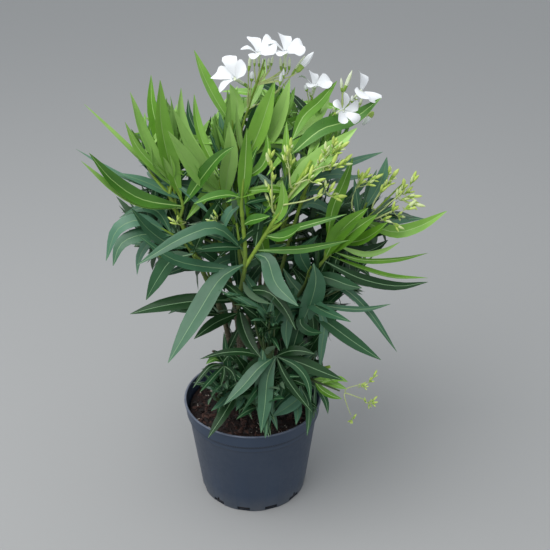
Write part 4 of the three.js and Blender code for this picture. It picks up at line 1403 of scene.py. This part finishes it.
bud_finishes = [finish(name, deep, light, size=140, gloss=0.42, relief=0.0001)
                for name, deep, light in BUD_TINTS]
bud_stores = {key: new_store() for key in ("buds_right", "buds_front", "buds_low")}
for label, carrier, way, clusters, bud_count in BUD_SPRAYS:
    draw = random.Random(f"buds of {label}")
    key = {"bough_right": "buds_right", "low right": "buds_low"}.get(carrier, "buds_front")
    store = bud_stores[key]
    small = SMALL_SPRAY if key == "buds_low" or "tiny" in label else 1
    root = place_seen_at(carrier, *way[0][:2])
    stem_way = smooth_way([root] + [seen(*place) for place in way], SPRAY_POINTS)
    add_stalk(stem_way[::SPRAY_STEP], SPRAY_TAPER, size=small)
    for px, py in clusters:
        depth = way[-1][2] + draw.uniform(*CLUSTER_DEPTH)
        end = seen(px, py, depth)
        below = seen(px + TWIG_FOOT[0], py + TWIG_FOOT[1], depth)
        start = stem_way[np.argmin(np.linalg.norm(stem_way - below, axis=1))]
        heading = unit(end - start + np.array((0, 0, TWIG_RISE)))
        fork = end - heading * FORK_BEFORE
        sagged = (start + fork) / 2 - np.array((0, 0, TWIG_SAG))
        add_stalk(smooth_way((start, sagged, fork), TWIG_POINTS), TWIG_TAPER, size=small)
        side, other = frame_on(heading)
        for bud in range(bud_count):
            first = bud == 0
            bearing = bud * BUD_TURN + draw.uniform(-BUD_TURN_SPREAD, BUD_TURN_SPREAD)
            lean = FIRST_BUD_LEAN if first else draw.uniform(*BUD_LEAN)
            out = side * math.cos(bearing) + other * math.sin(bearing)
            pointing = unit(heading + out * lean)
            length = draw.uniform(*BUD_LENGTH) * (FIRST_BUD_SIZE if first else BUD_SIZE) * small
            foot = fork + pointing * BUD_LEAD - heading * BUD_BACK * (bud > 1)
            stalk = np.array((fork - heading * BUD_STALK_FOOT, foot + pointing * STALK_OVERLAP))
            add_stalk(stalk, BUD_STALK_TAPER, sides=4, size=small)
            cream = key != "buds_low" and draw.random() < CREAM_SHARE
            add_bud(store, foot, pointing, length, length * BUD_WIDTH, int(cream))
    keep_in_view(np.array(store["points"]))

for key, store in bud_stores.items():
    replaced = (key,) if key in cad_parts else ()
    joined_piece(store, f"sprays_{key}", bud_finishes, replaced, smooth=60)
stalk_finish = finish("flower_stalk", *STALK_LIME, size=120, gloss=0.45, relief=0.0001)
joined_piece(stalks, "flower_stalks", [stalk_finish], ())


# The rest of the crown grows by rule: shoots from the nearest bough into each mass of leaves, with
# whorls of three, each whorl turned by 60 degrees, then single leaves between them. A leaf stays in
# the crown's outline in the photograph, off its gaps, and behind the leaves placed above.
WHORL = 3
WHORL_TURN = math.radians(60)
# For each kind: the metres between whorls, then the lean in degrees and the length of the leaves at
# the tip, how much each grows from whorl to whorl and the most it comes to, then the droop.
SPRAY_SPACING = {"young": 0.016, "mature": 0.019}
SPRAY_LEAN = {"young": (10, 13, 62), "mature": (32, 15, 98)}
SPRAY_LENGTH = {"young": (0.070, 0.024, 0.140), "mature": (0.085, 0.022, 0.145)}
SPRAY_DROOP = {"young": (0.05, 0.10), "mature": (0.35, 0.17)}
LEAF_SLENDERNESS = {"young": 0.135, "mature": 0.155}
# What new growth keeps to: the box, the rim, the compost, a lowest height, the outline, the gaps.
BOX_MARGIN = 0.010
RIM_CLEAR = 0.003
RIM_MIDDLE = 0.006
RIM_WIDTH = 0.011
COMPOST_CLEAR = 0.005
COMPOST_SPREAD = 0.01
LOWEST_LEAF = 0.10
OUT_OF_LINE = 0.03
OVER_GAP = 0.02
DEPTH_SLACK = 0.002
HIDING = 0.045
# How a leaf hangs and is turned, and how much the leaves of a whorl differ.
LEAF_SAG = -1.4
LEAF_TURN = 14
LEAF_TWIST = 25
LEAF_WAVE = 0.05
OWN_TINT_SHARE = 0.7
LEAFY_SHARE = 0.8
WHORL_TRIES = 5
BEARING_SPREAD = 0.25
LEAN_SPREAD = 8
LENGTH_SPREAD = (0.85, 1.12)
SHORTER_BY = 0.12
DROOP_SPREAD = (0.7, 1.3)
WIDTH_SPREAD = (0.85, 1.15)
FACE_UP = 0.35
# The shoots of a mass: how far they reach into it, and how they bow.
SHOOT_TRIES = 16
SHOOT_REACH = 0.6
ROOT_BELOW = 0.055
BOW = 0.16
BOW_RISE = -0.2
SHOOT_POINTS = 40
SEEN_STEP = 6
GROWN_STEP = 3
# The single leaves, and those over the holes that the whorls leave.
SINGLE_LEAVES = 20
SINGLE_TRIES = 400
ROOT_RISE = 0.02
ROOT_APART = (0.02, 0.08)
NEAREST_ROOT = 0.01
REACH_SPREAD = (1.3, 1.9)
HUNG_LENGTHS = (0.07, 0.16)
HUNG_RISE = 0.25
HUNG_DROOP = 0.3
HUNG_WIDTHS = (0.95, 1.25)
HUNG_FACE_UP = 0.8
GAP_TRIES = 60000
GAP_ACROSS = (90, 430)
GAP_DOWN = (80, 430)
GAP_DEPTH = (-0.02, 0.17)
GAP_REACH = 0.13
GAP_SHARE = 0.03
# The crown's outline in the photograph, without its single tips, and the gaps to be seen through,
# each by its middle and its radius in pixels.
CROWN_OUTLINE = (
    (186, 398), (194, 376), (214, 356), (222, 340), (226, 322), (206, 322), (186, 318), (152, 312),
    (184, 296), (194, 274), (176, 274), (160, 280), (152, 272), (142, 256), (124, 244), (130, 226),
    (114, 202), (100, 178), (140, 192), (140, 168), (126, 130), (142, 120), (150, 94), (166, 94),
    (180, 102), (192, 112), (206, 94), (222, 86), (240, 80), (262, 74), (286, 80), (298, 98),
    (322, 94), (336, 102), (370, 106), (354, 130), (338, 156), (352, 164), (382, 162), (376, 192),
    (400, 198), (412, 216), (428, 216), (400, 232), (384, 246), (368, 262), (372, 276), (364, 300),
    (348, 310), (336, 326), (334, 344), (328, 342), (320, 352), (322, 368), (342, 378), (330, 388),
    (322, 404), (316, 420), (302, 430), (268, 438), (232, 434), (208, 424), (192, 410),
)
SKY_GAPS = ((206, 84, 9), (203, 276, 5), (191, 284, 6), (228, 304, 4), (234, 327, 4), (264, 274, 4),
            (299, 158, 3), (324, 118, 3), (332, 196, 5), (344, 274, 4), (340, 170, 4), (210, 345, 6),
            (376, 206, 3), (344, 300, 3), (198, 402, 9), (208, 414, 9), (226, 424, 7), (244, 424, 7),
            (256, 432, 5), (286, 428, 6), (202, 124, 4), (212, 106, 8), (205, 116, 5), (303, 217, 4),
            (345, 190, 5), (318, 227, 4))
# Tints for grown leaves, low in the crown and high in it: darker low down, as painted shade, and lighter
# high up, as painted light.
PAINTED_LIGHT_TINTS_BY_HEIGHT = {"young": ((0, 0, 1, 2), (1, 2, 2, 3)), "mature": ((0, 0, 1, 2), (0, 1, 2, 2))}
YOUNG_FROM = 0.55
STEM_CLEAR = 0.005
STEM_SHOWS_FROM = 76
SHOOT_OLIVE = ((0.040, 0.070, 0.020, 1), (0.065, 0.105, 0.030, 1))
HIGH_IN_CROWN = 0.53
# Of the leaves that fill gaps among young ones, this share are mature, darker ones: partly painted shade
# between the young leaves.
DARK_AMONG_YOUNG = 0.45


def inside_outline(shown):
    """Which of some pixels lie inside the crown's outline."""
    x, y = shown[:, 0], shown[:, 1]
    within = np.zeros(len(shown), bool)
    for (x0, y0), (x1, y1) in zip(CROWN_OUTLINE, CROWN_OUTLINE[1:] + CROWN_OUTLINE[:1]):
        crosses = (y0 > y) != (y1 > y)
        within ^= crosses & (x < (x1 - x0) * (y - y0) / ((y1 - y0) or 1) + x0)
    return within


def fits(points):
    """Whether new growth is in the part's box, off the pot, in outline and behind what shows."""
    low, high = (np.array(corner) for corner in cad_box)
    if (points < low - BOX_MARGIN).any() or (points > high + BOX_MARGIN).any():
        return False
    reach = np.hypot(points[:, 0], points[:, 1])
    under_rim = points[:, 2] < POT_HEIGHT + RIM_CLEAR
    if (under_rim & (abs(reach - RIM_RADIUS + RIM_MIDDLE) < RIM_WIDTH)).any():
        return False
    in_compost = points[:, 2] < compost_top + COMPOST_CLEAR
    if (in_compost & (reach < RIM_RADIUS + COMPOST_SPREAD)).any():
        return False
    if (points[:, 2] < LOWEST_LEAF).any():
        return False
    shown = in_photo(points)
    if 1 - inside_outline(shown).mean() > OUT_OF_LINE:
        return False
    for px, py, size in SKY_GAPS:
        if (np.hypot(shown[:, 0] - px, shown[:, 1] - py) < size).mean() > OVER_GAP:
            return False
    hidden = nearest_seen[cells_of(shown)]
    hides = np.isfinite(hidden) & (shown[:, 2] < hidden - DEPTH_SLACK)
    return hides.mean() < HIDING


def grown_way(foot, heading, length, droop):
    """A leaf's midline by rule: it sets out in a heading and bends down as it goes."""
    points = [foot]
    for before, after in zip(PLAIN_STATIONS, PLAIN_STATIONS[1:]):
        heading = unit(heading + np.array((0, 0, LEAF_SAG)) * droop * (after - before))
        points.append(points[-1] + heading * length * (after - before))
    return np.array(points)


def grow_leaf(draw, key, kind, midline, width, face, tint, bare=0):
    """Adds a leaf to its mass if it fits, and, where asked, if it covers enough that is bare. Low on
    the plant even a young shoot bears mature leaves."""
    if midline[0][2] < YOUNG_FROM:
        kind = "mature"
    turn, twist, wave = (draw.uniform(-most, most) for most in (LEAF_TURN, LEAF_TWIST, LEAF_WAVE))
    rings = leaf_rings(midline, PLAIN_STATIONS, width, face, kind, turn, twist, wave)
    points = blade_points(rings)
    cell = cells_of(in_photo(points))
    if bare and (1 - covered[cell]).mean() < bare:
        return False
    if not fits(points):
        return False
    covered[cell] = True
    shade = tint if draw.random() < OWN_TINT_SHARE else draw.choice((0, 1, 2))
    add_rings(spray_store(key, kind), rings, leaf_tints(shade))
    return True


def grow_shoot(draw, key, kind, way):
    """Whorls of leaves down a shoot from its tip, and the places on it where leaves found room."""
    run = np.linalg.norm(np.diff(way, axis=0), axis=1).sum()
    whorls = max(2, int(run * LEAFY_SHARE / SPRAY_SPACING[kind]))
    phase = draw.uniform(0, 2 * math.pi)
    tint = draw.choice(PAINTED_LIGHT_TINTS_BY_HEIGHT[kind][int(way[-1][2] > HIGH_IN_CROWN)])
    first_lean, lean_step, most_lean = SPRAY_LEAN[kind]
    first_length, length_step, most_length = SPRAY_LENGTH[kind]
    droop, droop_step = SPRAY_DROOP[kind]
    grown = []
    for level in range(whorls):
        share = 1 - level * SPRAY_SPACING[kind] / run
        place = int(share * (len(way) - 1))
        axis = unit(way[min(place + 1, len(way) - 1)] - way[max(place - 1, 0)])
        side = unit(np.cross(axis, FRAME_HINT))
        other = np.cross(axis, side)
        for leaf in range(WHORL):
            bearing = phase + leaf * 2 * math.pi / WHORL + level * WHORL_TURN
            for attempt in range(WHORL_TRIES):
                turned = bearing + draw.uniform(-BEARING_SPREAD, BEARING_SPREAD) * (1 + attempt)
                lean = min(first_lean + level * lean_step, most_lean)
                lean += draw.uniform(-LEAN_SPREAD, LEAN_SPREAD)
                length = min(first_length + level * length_step, most_length)
                length *= draw.uniform(*LENGTH_SPREAD) * (1 - SHORTER_BY * attempt)
                out = side * math.cos(turned) + other * math.sin(turned)
                heading = axis * math.cos(math.radians(lean)) + out * math.sin(math.radians(lean))
                midline = grown_way(way[place], heading, length,
                                    (droop + droop_step * level) * draw.uniform(*DROOP_SPREAD))
                width = length * LEAF_SLENDERNESS[kind] * draw.uniform(*WIDTH_SPREAD)
                face = axis + np.array((0, 0, FACE_UP))
                if grow_leaf(draw, key, kind, midline, width, face, tint):
                    grown.append(place)
                    break
    return grown


twigs = new_store()
for name in shoots:
    add_tube(twigs, shoots[name][::SEEN_STEP], SHOOT_FOOT_RADIUS, SHOOT_TIP_RADIUS)

# What the placed leaves cover counts as covered. The two green boughs in front of the rest stay in
# view too, but don't count, so that leaves close the holes beside them.
covered = np.isfinite(nearest_seen)
for name in ("bough_front", "bough_front_right"):
    for shift in (-STEM_CLEAR, 0, STEM_CLEAR):
        keep_in_view(carriers[name][STEM_SHOWS_FROM:] + np.array((shift, 0, 0)))
limb_points = np.vstack([carriers[name] for name in BOUGHS])
twig_points = []
for mass, (kind, wanted) in MASSES.items():
    low, high = (np.array(corner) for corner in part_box(mass))
    half = (high - low) / 2
    draw = random.Random(f"growth of {mass}")
    made = 0
    for _ in range(wanted * SHOOT_TRIES):
        if made == wanted:
            break
        offset = np.array([draw.uniform(-1, 1) for _ in range(3)])
        if np.linalg.norm(offset) > 1:
            continue
        target = mass_centre[mass] + half * offset * SHOOT_REACH
        below = target - np.array((0, 0, ROOT_BELOW))
        root = limb_points[np.argmin(np.linalg.norm(limb_points - below, axis=1))]
        rise = BOW_RISE * (target[2] - root[2])
        bow = np.array((target[0] - root[0], target[1] - root[1], rise)) * BOW
        way = smooth_way((root, (root + target) / 2 + bow, target), SHOOT_POINTS)
        if not fits(way):
            continue
        grown = grow_shoot(draw, mass, kind, way)
        if grown:
            way = way[:max(grown) + 1]
            twig_points.append(way)
            if len(way) > GROWN_STEP:
                add_tube(twigs, way[::GROWN_STEP], SHOOT_FOOT_RADIUS, SHOOT_TIP_RADIUS)
            made += 1


def hang_leaf(draw, mass, kind, spot, bare):
    """Grows one leaf from a limb near a spot, out through the spot. Says whether it found room."""
    apart = np.linalg.norm(limb_points - spot - np.array((0, 0, ROOT_RISE)), axis=1)
    root = limb_points[np.argmin(abs(apart - draw.uniform(*ROOT_APART)))]
    reach = np.linalg.norm(spot - root)
    if reach > GAP_REACH or reach < NEAREST_ROOT:
        return False
    shortest, longest = HUNG_LENGTHS
    length = min(max(reach * draw.uniform(*REACH_SPREAD), shortest), longest)
    heading = unit(spot - root + np.array((0, 0, HUNG_RISE * reach)))
    midline = grown_way(root, heading, length, HUNG_DROOP)
    width = length * LEAF_SLENDERNESS[kind] * draw.uniform(*HUNG_WIDTHS)
    face = unit(CAMERA_PLACE - root) + np.array((0, 0, HUNG_FACE_UP))
    tint = draw.choice(PAINTED_LIGHT_TINTS_BY_HEIGHT[kind][int(spot[2] > HIGH_IN_CROWN)])
    return grow_leaf(draw, mass, kind, midline, width, face, tint, bare)


# Single leaves stand between the whorls of each mass, and, where holes are still left in the crown,
# leaves hang from the nearest limb.
limb_points = np.vstack((limb_points, *(shoots[name] for name in shoots), *twig_points))
draw = random.Random("single leaves")
for mass, (kind, _) in MASSES.items():
    low, high = (np.array(corner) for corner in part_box(mass))
    made = 0
    for _ in range(SINGLE_TRIES):
        if made == SINGLE_LEAVES:
            break
        offset = np.array([draw.uniform(-1, 1) for _ in range(3)])
        if np.linalg.norm(offset) < 1:
            made += hang_leaf(draw, mass, kind, mass_centre[mass] + (high - low) / 2 * offset, 0)

draw = random.Random("leaves in the gaps")
for _ in range(GAP_TRIES):
    px, py = draw.uniform(*GAP_ACROSS), draw.uniform(*GAP_DOWN)
    if covered[int(px / CELL), int(py / CELL)] or not inside_outline(np.array([(px, py)]))[0]:
        continue
    spot = seen(px, py, draw.uniform(*GAP_DEPTH))
    mass = min(MASSES, key=lambda name: np.linalg.norm(mass_centre[name] - spot))
    kind = "mature" if draw.random() < DARK_AMONG_YOUNG else MASSES[mass][0]
    hang_leaf(draw, mass, kind, spot, GAP_SHARE)

shoot_finish = finish("shoot_green", *SHOOT_OLIVE, size=120, gloss=0.42, relief=0.0002)
over_height(shoot_finish, STEM_GREEN, LIME_FROM, LIME_TO, amount=1.9)
for (key, kind), store in sprays.items():
    joined_piece(store, f"{kind}_{key}", leaf_finishes[kind], (key,))
joined_piece(twigs, "green_shoots", [shoot_finish], ())
